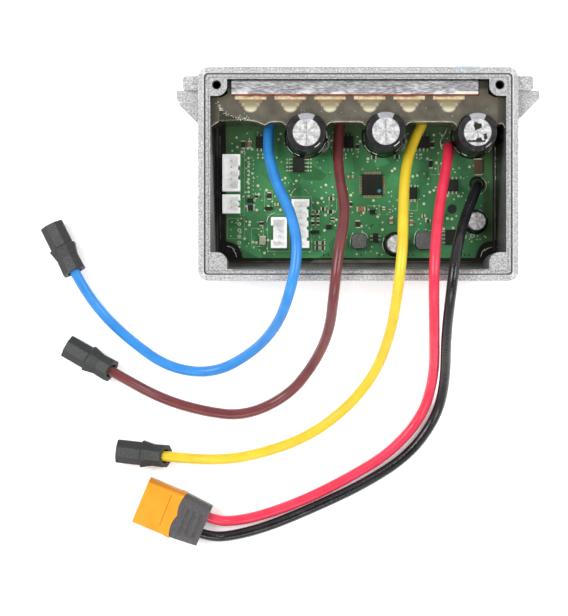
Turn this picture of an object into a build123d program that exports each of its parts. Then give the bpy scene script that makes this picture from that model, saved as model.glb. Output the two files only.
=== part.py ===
from build123d import *
import math
import os

# Electronic speed controller: an open cast tray with its power stage, circuit board, cords and plugs.
# Millimetres. X runs along the tray, Y towards the wall that carries the heatsink bar, and Z up, out of the
# open tray. The origin is the middle of the tray's footprint, with its ears and thermal pad, on the table.

os.makedirs("parts", exist_ok=True)

# ---- Tray ----
case_length = 104.0
case_width = 69.4
case_height = 30.0
case_corner = 3.4
outer_draft = 1.5  # degrees
pad_thickness = 0.4
film_thickness = 0.1
case_y = -pad_thickness / 2
back_y = case_y + case_width / 2
rim_band = 1.9
groove_width = 0.5
ledge_z = case_height - 0.6
groove_z = ledge_z - 0.8
floor_z = 2.5
opening_length = 96.2
opening_width = 61.8
cavity_draft = 4.0  # degrees
opening_back = case_y + opening_width / 2
block_reach = 5.5  # how far a corner block stands into the opening
block_in_wall = 2.5
block_radius = 3.3
lid_hole_x = 46.0
lid_hole_y = case_y + 29.0
lid_hole_radius = 1.25
lid_hole_depth = 12.0
ear_root = 50.5
ear_reach = 57.0
ear_back = 31.8
ear_thickness = 4.6
ear_bottom = 4.0
ear_top = 28.0
ear_hole_x = 54.4
ear_hole_z = 13.5
ear_hole_radius = 1.7
rib_reach = 59.2
rib_depth = 9.0
rib_flat = 2.6
rib_height = 4.5
rib_top = 26.3
land_left = -44.0
land_right = 40.5
land_depth = 2.5

# ---- Board and power stage ----
board_left = -43.6
board_right = 45.9
board_front = -26.9
board_back = 25.0
board_z = 7.0
board_thickness = 1.6
board_top = board_z + board_thickness
board_corner_cut = 5.8
bar_left = -41.2
bar_right = 39.2
bar_front = 26.0
bar_bottom = 4.0
bar_top = 27.5
insulator_thickness = 0.4
insulator_front = bar_front - insulator_thickness
transistor_pitch = 12.93
transistor_xs = [-35.0 + transistor_pitch * index for index in range(6)]
tab_thickness = 1.5
tab_width = 10.0
tab_top = 26.2
tab_front = insulator_front - tab_thickness
package_bottom = 10.6
package_height = 9.2
package_width = 10.2
package_thickness = 3.0
screw_z = tab_top - 2.8
screw_radius = 1.5
screw_grip = 3.5
head_radius = 2.6
head_height = 2.0
bush_radius = 3.3
bush_thickness = 1.1
bush_barrel_radius = 1.8
lead_y = 22.6
lead_pitch = 2.54
lead_bottom = 6.3
slab_left = -45.6
slab_front = 16.3
slab_back = 28.6
slab_top = 26.8

# ---- Capacitors ----
bulk_places = [(-16.8, 13.45), (9.05, 13.85), (38.9, 13.5)]
bulk_bottom = board_top + 0.3
bulk_height = 19.5
can_radius = 6.1
sleeve_radius = 6.3
sleeve_opening = 4.5
sleeve_lip = 0.2
bulk_lead_pitch = 5.0
small_places = [(40.1, -14.8), (13.2, -22.35)]
small_radius = 3.15
small_height = 4.7
base_size = 6.6
base_height = 0.9

# ---- Cords ----
cord_radius = 1.75
pocket_clearance = 0.15
slab_pocket = 2.0  # how far a phase cord's end sits inside the grey potting
plug_length = 18.0
plug_bore_depth = 5.5
plug_run_out = 4.0  # straight stretch of cord behind a plug

# ---- Power connector ----
connector_end = (-50.9, -117.2)
connector_heading = 157.3  # degrees, from its cord end to its mating end
connector_length = 23.1
connector_width = 16.0
connector_height = 8.1
cord_spacing = 6.0
contact_spacing = 7.2
cap_bore_depth = 2.5
cap_run_out = 3.0


def upright(z):
    """The tray's own level plane at height z."""
    return Plane(origin=(0, case_y, z))


def facing_down(z):
    """The same plane looking down, for shapes drafted towards the floor."""
    return Plane(origin=(0, case_y, z), x_dir=(1, 0, 0), z_dir=(0, 0, -1))


def save(part, name):
    """Labels one finished piece and writes it."""
    part.label = name
    export_step(part, f"parts/{name}.step")


# ---- Tray: the hollow first, because the pottings fill it too ----
with BuildPart() as corner_blocks:
    block_size = block_reach + block_in_wall
    block_x = opening_length / 2 - block_reach + block_size / 2
    block_y = opening_width / 2 - block_reach + block_size / 2
    for side_x in (-1, 1):
        for side_y in (-1, 1):
            with BuildSketch(facing_down(ledge_z)) as block:
                with Locations((side_x * block_x, side_y * block_y)):
                    Rectangle(block_size, block_size)
                fillet(block.vertices().sort_by_distance((0, 0, 0))[0], block_radius)
            extrude(amount=ledge_z - floor_z)

with BuildPart() as cavity:
    with BuildSketch(facing_down(ledge_z)):
        Rectangle(opening_length, opening_width)
    extrude(amount=ledge_z - floor_z, taper=cavity_draft)
    pocket_depth = 3.0
    with BuildSketch(Plane.XY.offset(floor_z)):
        with Locations(((bar_left + bar_right) / 2, opening_back - pocket_depth / 2)):
            Rectangle(bar_right - bar_left + 1.6, pocket_depth)
    extrude(amount=ledge_z - floor_z)
    add(corner_blocks.part, mode=Mode.SUBTRACT)

with BuildPart() as housing:
    with BuildSketch(facing_down(case_height)):
        RectangleRounded(case_length, case_width, case_corner)
    extrude(amount=case_height, taper=outer_draft)
    recess_length = case_length - 2 * rim_band
    recess_width = case_width - 2 * rim_band
    recess_corner = case_corner - rim_band
    with BuildSketch(upright(ledge_z)):
        RectangleRounded(recess_length, recess_width, recess_corner)
    extrude(amount=case_height - ledge_z, mode=Mode.SUBTRACT)
    with BuildSketch(upright(groove_z)):
        RectangleRounded(recess_length, recess_width, recess_corner)
        RectangleRounded(
            recess_length - 2 * groove_width,
            recess_width - 2 * groove_width,
            recess_corner - groove_width,
            mode=Mode.SUBTRACT,
        )
    extrude(amount=ledge_z - groove_z, mode=Mode.SUBTRACT)
    # flat land that the thermal pad is stuck to
    with BuildSketch(Plane.XY.offset(floor_z)):
        with Locations(((land_left + land_right) / 2, back_y - land_depth / 2)):
            Rectangle(land_right - land_left, land_depth)
    extrude(amount=ear_top - floor_z)
    add(cavity.part, mode=Mode.SUBTRACT)
    # ears: an upright lug with a screw hole, and a rib above and below the hole
    for side in (-1, 1):
        with BuildSketch(Plane.XY.offset(ear_bottom)) as lug:
            with Locations((side * (ear_root + ear_reach) / 2, ear_back - ear_thickness / 2)):
                Rectangle(ear_reach - ear_root, ear_thickness)
            fillet(lug.vertices().group_by(Axis.X)[-1 if side > 0 else 0], 1.0)
        extrude(amount=ear_top - ear_bottom)
        rib_back = ear_back - ear_thickness
        for rib_z in (ear_bottom, rib_top - rib_height):
            with BuildSketch(Plane.XY.offset(rib_z)):
                with BuildLine():
                    Polyline(
                        (side * ear_root, rib_back),
                        (side * rib_reach, rib_back),
                        (side * rib_reach, rib_back - rib_flat),
                        (side * (rib_reach - rib_depth + rib_flat), rib_back - rib_depth),
                        (side * ear_root, rib_back - rib_depth),
                        close=True,
                    )
                make_face()
            extrude(amount=rib_height)
    with Locations(*[Location((side * ear_hole_x, ear_back, ear_hole_z), (90, 0, 0)) for side in (-1, 1)]):
        Cylinder(
            ear_hole_radius,
            ear_thickness,
            align=(Align.CENTER, Align.CENTER, Align.MIN),
            mode=Mode.SUBTRACT,
        )
    with Locations((-lid_hole_x, lid_hole_y, ledge_z), (lid_hole_x, lid_hole_y, ledge_z)):
        CounterSinkHole(lid_hole_radius, lid_hole_radius + 0.35, depth=lid_hole_depth)
    rim_edges = housing.edges().filter_by_position(Axis.Z, case_height - 0.01, case_height + 0.01)
    fillet(rim_edges, 0.3)

save(housing.part, "housing")

# ---- Thermal pad on the back wall, with a scrap of its release film pressed in and folded over the rim ----
pad_left = -43.3
pad_right = 39.8
pad_bottom = 4.0
pad_top = 27.8
pad_back = back_y + pad_thickness
film_left = 31.7
film_length = 7.4
film_bottom = 18.0
film_fold = 1.0
with BuildPart() as release_film:
    film_top = case_height + film_thickness
    with Locations((film_left, pad_back - film_thickness, film_bottom)):
        Box(film_length, film_thickness, film_top - film_bottom, align=(Align.MIN,) * 3)
    with Locations((film_left, pad_back - film_fold, case_height)):
        Box(film_length, film_fold, film_thickness, align=(Align.MIN,) * 3)
save(release_film.part, "release_film")

with BuildPart() as thermal_pad:
    with Locations((pad_left, back_y, pad_bottom)):
        Box(pad_right - pad_left, pad_thickness, pad_top - pad_bottom, align=(Align.MIN,) * 3)
    add(release_film.part, mode=Mode.SUBTRACT)
save(thermal_pad.part, "thermal_pad")

# ---- Heatsink bar and what is screwed to it ----
screw_places = [(x, screw_z) for x in transistor_xs]


def along_front(y):
    """Places on the screw axes at depth y, with local Z towards the front."""
    return [Location((x, y, z), (90, 0, 0)) for x, z in screw_places]


with BuildPart() as heatsink_bar:
    with Locations((bar_left, bar_front, bar_bottom)):
        Box(bar_right - bar_left, opening_back - bar_front, bar_top - bar_bottom, align=(Align.MIN,) * 3)
    chamfer(heatsink_bar.edges().filter_by(Axis.X).group_by(Axis.Z)[-1].sort_by(Axis.Y)[-1], 0.5)
    with Locations(*along_front(bar_front + screw_grip)):
        Cylinder(
            screw_radius,
            screw_grip,
            align=(Align.CENTER, Align.CENTER, Align.MIN),
            mode=Mode.SUBTRACT,
        )
save(heatsink_bar.part, "heatsink_bar")

with BuildPart() as insulator_film:
    film_z = board_top + 0.4
    with Locations((bar_left + 0.2, insulator_front, film_z)):
        Box(bar_right - bar_left - 0.4, insulator_thickness, bar_top - 0.3 - film_z, align=(Align.MIN,) * 3)
    with Locations(*along_front(bar_front)):
        Cylinder(
            screw_radius,
            insulator_thickness,
            align=(Align.CENTER, Align.CENTER, Align.MIN),
            mode=Mode.SUBTRACT,
        )
save(insulator_film.part, "insulator_film")

with BuildPart() as transistor_tabs:
    with Locations(*[(x, tab_front, package_bottom) for x in transistor_xs]):
        Box(
            tab_width,
            tab_thickness,
            tab_top - package_bottom,
            align=(Align.CENTER, Align.MIN, Align.MIN),
        )
    with Locations(*along_front(insulator_front)):
        Cylinder(
            bush_barrel_radius,
            tab_thickness,
            align=(Align.CENTER, Align.CENTER, Align.MIN),
            mode=Mode.SUBTRACT,
        )
save(transistor_tabs.part, "transistor_tabs")

transistors = []
for number, x in enumerate(transistor_xs, start=1):
    with BuildPart() as transistor:
        with Locations((x, tab_front, package_bottom)):
            Box(
                package_width,
                package_thickness,
                package_height,
                align=(Align.CENTER, Align.MAX, Align.MIN),
            )
        chamfer(transistor.faces().sort_by(Axis.Y)[0].edges(), 0.4)
    transistors.append(transistor.part)
    save(transistor.part, f"transistor_{number}")

lead_places = [(x + lead_pitch * step, lead_y) for x in transistor_xs for step in (-1, 0, 1)]
with BuildPart() as transistor_leads:
    with Locations(*[(x, y, lead_bottom) for x, y in lead_places]):
        Box(0.8, 0.5, package_bottom - lead_bottom, align=(Align.CENTER, Align.CENTER, Align.MIN))
save(transistor_leads.part, "transistor_leads")

with BuildPart() as insulating_bushes:
    with Locations(*along_front(tab_front)):
        Cylinder(bush_radius, bush_thickness, align=(Align.CENTER, Align.CENTER, Align.MIN))
    with Locations(*along_front(insulator_front)):
        Cylinder(bush_barrel_radius, tab_thickness, align=(Align.CENTER, Align.CENTER, Align.MIN))
        Cylinder(
            screw_radius,
            tab_thickness + bush_thickness,
            align=(Align.CENTER, Align.CENTER, Align.MIN),
            mode=Mode.SUBTRACT,
        )
save(insulating_bushes.part, "insulating_bushes")

with BuildPart() as clamp_screws:
    head_back = tab_front - bush_thickness
    with Locations(*along_front(bar_front + screw_grip)):
        Cylinder(
            screw_radius,
            bar_front + screw_grip - head_back,
            align=(Align.CENTER, Align.CENTER, Align.MIN),
        )
    with Locations(*along_front(head_back)):
        Cylinder(head_radius, head_height, align=(Align.CENTER, Align.CENTER, Align.MIN))
    with Locations(*along_front(head_back - head_height)):
        Box(2.8, 0.6, 2.0, mode=Mode.SUBTRACT)
        Box(0.6, 2.8, 2.0, mode=Mode.SUBTRACT)
save(clamp_screws.part, "clamp_screws")

# ---- Circuit board ----
bulk_lead_places = [
    (x + side * bulk_lead_pitch / 2, y) for x, y in bulk_places for side in (-1, 1)
]
with BuildPart() as circuit_board:
    with BuildSketch(Plane.XY.offset(board_z)):
        with Locations(((board_left + board_right) / 2, (board_front + board_back) / 2)):
            Rectangle(board_right - board_left, board_back - board_front)
        with Locations((board_left, board_front), (board_right, board_front)):
            Circle(board_corner_cut, mode=Mode.SUBTRACT)
        with Locations(*lead_places, *bulk_lead_places):
            Circle(0.65, mode=Mode.SUBTRACT)
    extrude(amount=board_thickness)
save(circuit_board.part, "circuit_board")

# ---- Large capacitors ----
def bulk_can(x, y):
    """A can with its crimp groove and the cross-shaped vent scored in its top."""
    top = bulk_bottom + bulk_height
    groove_low = bulk_bottom + 2.0
    with BuildPart() as can:
        with BuildSketch(Plane(origin=(x, y, 0), x_dir=(1, 0, 0), z_dir=(0, -1, 0))):
            with BuildLine():
                Polyline((0, bulk_bottom), (can_radius, bulk_bottom), (can_radius, groove_low))
                ThreePointArc(
                    (can_radius, groove_low),
                    (can_radius - 0.5, groove_low + 0.7),
                    (can_radius, groove_low + 1.4),
                )
                Polyline((can_radius, groove_low + 1.4), (can_radius, top), (0, top), (0, bulk_bottom))
            make_face()
        revolve(axis=Axis((x, y, 0), (0, 0, 1)))
        for turn in (0, 90):
            with Locations(Location((x, y, top), (0, 0, turn))):
                Box(7.6, 0.25, 0.3, mode=Mode.SUBTRACT)
    return can.part


def bulk_sleeve(x, y):
    """The shrunk sleeve, turned over the can's top edge."""
    bottom = bulk_bottom + 0.4
    top = bulk_bottom + bulk_height
    with BuildPart() as sleeve:
        with BuildSketch(Plane(origin=(x, y, 0), x_dir=(1, 0, 0), z_dir=(0, -1, 0))):
            with BuildLine():
                Polyline(
                    (can_radius, bottom),
                    (sleeve_radius, bottom),
                    (sleeve_radius, top + sleeve_lip),
                    (sleeve_opening, top + sleeve_lip),
                    (sleeve_opening, top),
                    (can_radius, top),
                    close=True,
                )
            make_face()
        revolve(axis=Axis((x, y, 0), (0, 0, 1)))
        top_circles = sleeve.edges().filter_by(GeomType.CIRCLE).group_by(Axis.Z)[-1]
        fillet(top_circles.sort_by(SortBy.RADIUS)[-1], 0.18)
    return sleeve.part


for number, (x, y) in enumerate(bulk_places, start=1):
    save(bulk_can(x, y), f"bulk_capacitor_can_{number}")
    save(bulk_sleeve(x, y), f"bulk_capacitor_sleeve_{number}")

with BuildPart() as bulk_capacitor_leads:
    with Locations(*[(x, y, lead_bottom) for x, y in bulk_lead_places]):
        Cylinder(0.4, bulk_bottom - lead_bottom, align=(Align.CENTER, Align.CENTER, Align.MIN))
save(bulk_capacitor_leads.part, "bulk_capacitor_leads")

# ---- Small capacitors ----
for number, (x, y) in enumerate(small_places, start=1):
    with BuildPart() as small_can:
        with Locations((x, y, board_top + base_height)):
            Cylinder(small_radius, small_height, align=(Align.CENTER, Align.CENTER, Align.MIN))
        fillet(small_can.edges().group_by(Axis.Z)[-1], 0.5)
    save(small_can.part, f"small_capacitor_{number}")

with BuildPart() as small_capacitor_bases:
    with BuildSketch(Plane.XY.offset(board_top)) as base_outline:
        with Locations(*small_places):
            Rectangle(base_size, base_size)
        chamfer(base_outline.vertices(), 1.1)
    extrude(amount=base_height)
save(small_capacitor_bases.part, "small_capacitor_bases")

# ---- Power inductors ----
inductors = [(1.0, -21.4, 5.0, 3.2), (22.9, -21.2, 6.0, 4.0)]  # x, y, size, height
for number, (x, y, size, height) in enumerate(inductors, start=1):
    with BuildPart() as inductor:
        with BuildSketch(Plane.XY.offset(board_top)) as outline:
            with Locations((x, y)):
                Rectangle(size, size)
            chamfer(outline.vertices(), size * 0.17)
        extrude(amount=height)
        fillet(inductor.edges().group_by(Axis.Z)[-1], 0.3)
    save(inductor.part, f"power_inductor_{number}")

# ---- Pin headers: x, y, pins, width, side of the notched wall, the notches' places and length ----
header_height = 5.4
header_wall = 0.75
header_floor = 1.2
tooth_recess = 0.3
pin_pitch = 2.0
headers = {
    "header_5pin": (-41.65, 1.4, 5, 5.9, 1, (-1.6, 1.6), 1.6),
    "header_2pin": (-41.65, -9.0, 2, 5.9, 1, (-0.85, 0.85), 0.8),
    "header_7pin": (-18.65, -15.55, 7, 5.9, 1, (-5.2, -1.5, 1.5, 5.2), 1.2),
    "header_4pin": (-25.8, -18.6, 4, 5.3, -1, (0.0,), 4.9),
}


def pin_header(x, y, pins, width, side, notches, notch_length):
    """An open-topped shroud whose long wall is notched on one side, and thinner between the notches."""
    length = pin_pitch * (pins - 1) + 4.2
    toothed = max(notches) - min(notches) + notch_length
    with BuildPart() as shroud:
        with Locations((x, y, board_top)):
            Box(width, length, header_height, align=(Align.CENTER, Align.CENTER, Align.MIN))
        with Locations((x, y, board_top + header_floor)):
            Box(
                width - 2 * header_wall,
                length - 2 * header_wall,
                header_height,
                align=(Align.CENTER, Align.CENTER, Align.MIN),
                mode=Mode.SUBTRACT,
            )
        with Locations(*[(x + side * width / 2, y + place, board_top) for place in notches]):
            Box(
                2 * header_wall,
                notch_length,
                header_height,
                align=(Align.CENTER, Align.CENTER, Align.MIN),
                mode=Mode.SUBTRACT,
            )
        with Locations((x + side * width / 2, y, board_top)):
            Box(
                2 * tooth_recess,
                toothed,
                header_height,
                align=(Align.CENTER, Align.CENTER, Align.MIN),
                mode=Mode.SUBTRACT,
            )
    return shroud.part


for name, layout in headers.items():
    save(pin_header(*layout), name)

with BuildPart() as header_pins:
    for x, y, pins, *rest in headers.values():
        with Locations((x, y, board_top + header_floor)):
            with GridLocations(1, pin_pitch, 1, pins):
                Box(0.5, 0.5, 3.4, align=(Align.CENTER, Align.CENTER, Align.MIN))
save(header_pins.part, "header_pins")

# ---- Chips with leads ----
controller_place = (5.5, -2.4)
controller_size = 6.9
controller_height = 1.3
package_gap = 0.15
lead_thickness = 0.15
lead_drop = 0.6


def flat_package(x, y, size_x, size_y, height):
    """A moulded package whose top edges are chamfered."""
    with BuildPart() as package:
        with Locations((x, y, board_top + package_gap)):
            Box(size_x, size_y, height, align=(Align.CENTER, Align.CENTER, Align.MIN))
        chamfer(package.edges().group_by(Axis.Z)[-1], 0.12)
    return package.part


def gull_wing(reach, width):
    """One lead that leaves a package along +X, drops to the board and ends in a flat foot."""
    shoulder = reach * 0.35
    with BuildPart() as lead:
        with BuildSketch(Plane.XZ) as profile:
            with BuildLine():
                Polyline(
                    (0, lead_drop),
                    (shoulder + lead_thickness, lead_drop),
                    (shoulder + lead_thickness, lead_thickness),
                    (reach, lead_thickness),
                    (reach, 0),
                    (shoulder, 0),
                    (shoulder, lead_drop - lead_thickness),
                    (0, lead_drop - lead_thickness),
                    close=True,
                )
            make_face()
        extrude(amount=width / 2, both=True)
    return lead.part


def side_places(x, y, half_x, half_y, pitch, count, angles):
    """Where the leads stand on the named sides of a package, as turns about Z from +X."""
    places = []
    for angle in angles:
        half = half_x if angle in (0, 180) else half_y
        turn = math.radians(angle)
        for index in range(count):
            across = (index - (count - 1) / 2) * pitch
            place_x = x + half * math.cos(turn) - across * math.sin(turn)
            place_y = y + half * math.sin(turn) + across * math.cos(turn)
            places.append(Location((place_x, place_y, board_top), (0, 0, angle)))
    return places


save(
    flat_package(*controller_place, controller_size, controller_size, controller_height),
    "microcontroller",
)
fine_lead = gull_wing(0.95, 0.25)
fine_pitch = 0.5
half_size = controller_size / 2
four_sides = (0, 90, 180, 270)
with BuildPart() as microcontroller_leads:
    with Locations(*side_places(*controller_place, half_size, half_size, fine_pitch, 12, four_sides)):
        add(fine_lead)
save(microcontroller_leads.part, "microcontroller_leads")

driver_size = (4.9, 3.9)
drivers = [(-31.1, 11.8), (-3.3, 11.8), (22.1, 11.8)]
left_right = (0, 180)
front_back = (90, 270)
small_outlines = [  # x, y, size along X, size along Y, leads to a side, sides with leads
    (-19.2, 4.3, 3.9, 4.9, 4, left_right),
    (31.8, -2.6, 4.9, 3.9, 4, front_back),
    (31.9, -19.9, 3.9, 4.9, 4, left_right),
    (19.2, -5.2, 2.6, 3.9, 2, front_back),
    (6.6, -20.2, 1.7, 3.0, 2, left_right),
]
chip_height = 1.45
chip_pitch = 1.27
for number, (x, y) in enumerate(drivers, start=1):
    save(flat_package(x, y, *driver_size, chip_height), f"gate_driver_{number}")

small_packages = [flat_package(*outline[:4], chip_height) for outline in small_outlines]
with BuildPart() as small_outline_chips:
    for package in small_packages:
        add(package)
save(small_outline_chips.part, "small_outline_chips")

chip_lead = gull_wing(0.95, 0.42)
with BuildPart() as chip_leads:
    for x, y in drivers:
        with Locations(*side_places(x, y, 0, driver_size[1] / 2, chip_pitch, 4, (90, 270))):
            add(chip_lead)
    for x, y, size_x, size_y, count, sides in small_outlines:
        with Locations(*side_places(x, y, size_x / 2, size_y / 2, chip_pitch, count, sides)):
            add(chip_lead)
save(chip_leads.part, "chip_leads")

# ---- Two-terminal chips: x, y, size along X, size along Y; the longer way carries the terminals ----
chip_terminal = 0.35
resistor_sizes = [
    (-37.8, 11.1, 1.4, 2.7),
    (-35.3, -10.1, 2.6, 1.8),
    (-33.4, -6.3, 0.8, 1.6),
    (-29.0, -6.1, 1.3, 2.5),
    (-31.6, -15.4, 1.4, 1.6),
    (-11.0, -10.5, 1.6, 1.2),
    (-13.0, -11.3, 1.6, 0.8),
    (-14.4, -12.9, 1.0, 1.6),
    (-12.7, -12.9, 1.0, 1.6),
    (-14.4, -15.2, 1.0, 1.6),
    (-12.7, -15.2, 1.0, 1.6),
    (-13.0, -21.9, 1.6, 1.2),
    (-11.1, -21.9, 1.6, 1.2),
    (-13.0, -23.6, 1.6, 1.2),
    (-11.1, -23.6, 1.6, 1.2),
    (-8.5, -11.4, 2.0, 1.2),
    (-7.7, -14.0, 1.2, 1.3),
    (-8.3, -7.0, 1.6, 1.2),
    (-1.6, -8.9, 0.9, 2.0),
    (0.7, -15.6, 1.6, 2.6),
    (24.2, -14.5, 1.8, 1.0),
    (25.1, 4.6, 1.3, 3.0),
    (25.6, 11.1, 1.2, 2.4),
    (0.5, 10.4, 1.2, 2.0),
    (6.0, 6.8, 1.8, 1.2),
    (13.8, 7.0, 1.8, 1.2),
    (11.4, -11.1, 0.8, 1.2),
    (18.6, -12.5, 0.9, 1.2),
    (22.7, -12.7, 1.2, 0.9),
]
capacitor_sizes = [
    (-35.6, 11.1, 1.3, 2.6),
    (-26.6, -9.0, 1.4, 1.0),
    (-31.3, -21.0, 2.1, 2.9),
    (-1.8, 0.3, 2.0, 0.9),
    (1.7, -10.6, 2.9, 1.7),
    (9.4, -10.3, 1.0, 1.2),
    (11.8, -14.4, 1.2, 2.0),
    (18.6, -15.1, 1.2, 1.9),
    (41.0, 3.6, 2.8, 5.6),
]
diode_sizes = [
    (-35.4, -7.7, 2.0, 1.5),
    (-13.7, -18.2, 2.8, 1.1),
    (-9.0, -16.5, 1.8, 1.4),
    (5.6, -11.5, 1.9, 1.5),
    (-29.2, -10.3, 2.6, 1.1),
]


def chip_body(x, y, size_x, size_y, height):
    """The block between a chip's two terminals."""
    cut = 2 * chip_terminal
    body_x = size_x - cut if size_x > size_y else size_x
    body_y = size_y - cut if size_y >= size_x else size_y
    with Locations((x, y, board_top)):
        Box(body_x, body_y, height, align=(Align.CENTER, Align.CENTER, Align.MIN))


def chip_terminals(x, y, size_x, size_y, height):
    """The two metal ends of a chip."""
    if size_x > size_y:
        spots = [(x + side * (size_x - chip_terminal) / 2, y) for side in (-1, 1)]
        end_x, end_y = chip_terminal, size_y
    else:
        spots = [(x, y + side * (size_y - chip_terminal) / 2) for side in (-1, 1)]
        end_x, end_y = size_x, chip_terminal
    with Locations(*[(spot_x, spot_y, board_top) for spot_x, spot_y in spots]):
        Box(end_x, end_y, height, align=(Align.CENTER, Align.CENTER, Align.MIN))


resistor_height = 0.5
capacitor_height = 0.9
with BuildPart() as chip_resistors:
    for sizes in resistor_sizes:
        chip_body(*sizes, resistor_height)
save(chip_resistors.part, "chip_resistors")

with BuildPart() as chip_capacitors:
    for sizes in capacitor_sizes:
        chip_body(*sizes, capacitor_height)
save(chip_capacitors.part, "chip_capacitors")

with BuildPart() as chip_ends:
    for sizes in resistor_sizes:
        chip_terminals(*sizes, resistor_height)
    for sizes in capacitor_sizes:
        chip_terminals(*sizes, capacitor_height)
save(chip_ends.part, "chip_ends")

with BuildPart() as diodes:
    for x, y, size_x, size_y in diode_sizes:
        with Locations((x, y, board_top)):
            Box(size_x, size_y, 0.9, align=(Align.CENTER, Align.CENTER, Align.MIN))
save(diodes.part, "diodes")

# ---- Plugs: each lies on its tail edge and shoulder, tipped up a little towards its cord ----
tail_length = 8.1
waist_start = 12.4
tail_apothem = 3.85
shoulder_apothem = 4.5
waist_apothem = 3.6
mouth_apothem = 3.8
contact_radius = 2.2
contact_bore = 1.75
contact_length = 8.0
contact_recess = 1.0
plug_bore_radius = 2.4
plug_pitch = 4.6  # degrees


def plug_frame(tail_x, tail_y, heading):
    """A plug's plane: origin at its tail's middle, Z along it to the cord, X level."""
    level = math.cos(math.radians(plug_pitch))
    along = (
        level * math.cos(math.radians(heading)),
        level * math.sin(math.radians(heading)),
        math.sin(math.radians(plug_pitch)),
    )
    across = (math.sin(math.radians(heading)), -math.cos(math.radians(heading)), 0)
    return Plane(origin=(tail_x, tail_y, tail_apothem * level + 0.02), x_dir=across, z_dir=along)


def plug_shell(frame, mouth_slant):
    """An eight-sided shell: straight tail, shoulder, waist and flared mouth, bored from both ends."""
    stations = [
        (tail_length, tail_apothem),
        (tail_length + 0.5, shoulder_apothem),
        (waist_start, waist_apothem),
        (plug_length, mouth_apothem),
    ]

    with BuildPart() as shell:
        with BuildSketch(frame):
            RegularPolygon(tail_apothem, 8, major_radius=False, rotation=22.5)
        extrude(amount=tail_length)
        for (near, near_apothem), (far, far_apothem) in zip(stations, stations[1:]):
            with BuildSketch(frame.offset(near)):
                RegularPolygon(near_apothem, 8, major_radius=False, rotation=22.5)
            with BuildSketch(frame.offset(far)):
                RegularPolygon(far_apothem, 8, major_radius=False, rotation=22.5)
            loft(ruled=True)
        mouth_edge = frame.from_local_coords(Vector(0, 0, plug_length - mouth_slant))
        slope = frame.z_dir * (2 * mouth_apothem) + Vector(0, 0, mouth_slant)
        split(bisect_by=Plane(origin=mouth_edge + Vector(0, 0, mouth_apothem), z_dir=slope), keep=Keep.BOTTOM)
        with BuildSketch(frame):
            Circle(contact_radius)
        extrude(amount=contact_recess + contact_length, mode=Mode.SUBTRACT)
        with BuildSketch(frame.offset(plug_length - plug_bore_depth)):
            Circle(plug_bore_radius)
        extrude(amount=2 * plug_bore_depth, mode=Mode.SUBTRACT)
    return shell.part


plugs = {
    "blue": (plug_frame(-102.65, -15.7, -63.4), 1.0),
    "brown": (plug_frame(-97.35, -56.5, -29.5), 2.0),
    "yellow": (plug_frame(-80.4, -92.0, -6.0), 3.5),
}
for colour, (frame, mouth_slant) in plugs.items():
    save(plug_shell(frame, mouth_slant), f"phase_plug_{colour}")

with BuildPart() as phase_plug_contacts:
    for frame, mouth_slant in plugs.values():
        with BuildSketch(frame.offset(contact_recess)):
            Circle(contact_radius)
            Circle(contact_bore, mode=Mode.SUBTRACT)
        extrude(amount=contact_length)
save(phase_plug_contacts.part, "phase_plug_contacts")

# ---- Power connector: local X from its cord end to its mating end ----
heading = math.radians(connector_heading)
connector = Plane(
    origin=(*connector_end, 0),
    x_dir=(math.cos(heading), math.sin(heading), 0),
    z_dir=(0, 0, 1),
)
connector_axis_z = connector_height / 2
contact_places = [(side * contact_spacing / 2, connector_axis_z) for side in (-1, 1)]


def cross_section(distance):
    """The connector's section plane at a distance from its cord end, local X across and Y up."""
    origin = connector.from_local_coords(Vector(distance, 0, 0))
    return Plane(origin=origin, x_dir=connector.y_dir, z_dir=connector.x_dir)


# the cap's side of the waved joint between cap and shell
with BuildPart() as cap_region:
    joint_edge = 9.4
    joint_dip = 9.85
    joint_bulge = 10.6
    with BuildSketch(connector.offset(-1)):
        with BuildLine():
            ThreePointArc((joint_edge, -8.4), (joint_bulge, -4.0), (joint_dip, 0))
            ThreePointArc((joint_dip, 0), (joint_bulge, 4.0), (joint_edge, 8.4))
            Polyline((joint_edge, 8.4), (-1, 8.4), (-1, -8.4), (joint_edge, -8.4))
        make_face()
    extrude(amount=connector_height + 2)

keyed_chamfer = 1.5  # on the side of the red cord
plain_chamfer = 0.9
lip_end = 11.4
lip_width = connector_width + 0.3
with BuildPart() as power_connector_shell:
    for near, far, width in ((7.0, lip_end, lip_width), (lip_end, connector_length, connector_width - 0.1)):
        with BuildSketch(cross_section(near)) as outline:
            with Locations((0, connector_axis_z)):
                Rectangle(width, connector_height)
            sides = outline.vertices().group_by(Axis.X)
            chamfer(sides[0], keyed_chamfer)
            chamfer(sides[-1], plain_chamfer)
        extrude(amount=far - near)
    add(cap_region.part, mode=Mode.SUBTRACT)
    with BuildSketch(cross_section(joint_bulge + 2)):
        with Locations(*contact_places):
            Circle(contact_radius)
    extrude(amount=connector_length, mode=Mode.SUBTRACT)
save(power_connector_shell.part, "power_connector_shell")

with BuildPart() as power_connector_cap:
    cap_height = 8.0
    for distance, width in ((0, 14.3), (11.0, 16.0)):
        with BuildSketch(cross_section(distance)) as outline:
            with Locations((0, cap_height / 2)):
                Rectangle(width, cap_height)
            chamfer(outline.vertices(), keyed_chamfer)
    loft(ruled=True)
    add(cap_region.part, mode=Mode.INTERSECT)
    groove_depth = 0.3
    for distance in (2.15, 4.86, 6.9):
        with Locations(connector.location * Location((distance, 0.7, cap_height))):
            Box(1.0, 8.0, 2 * groove_depth, mode=Mode.SUBTRACT)
    with BuildSketch(cross_section(0)):
        with Locations(*[(side * cord_spacing / 2, connector_axis_z) for side in (-1, 1)]):
            Circle(cord_radius + 0.3)
    extrude(amount=cap_bore_depth, mode=Mode.SUBTRACT)
save(power_connector_cap.part, "power_connector_cap")

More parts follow.
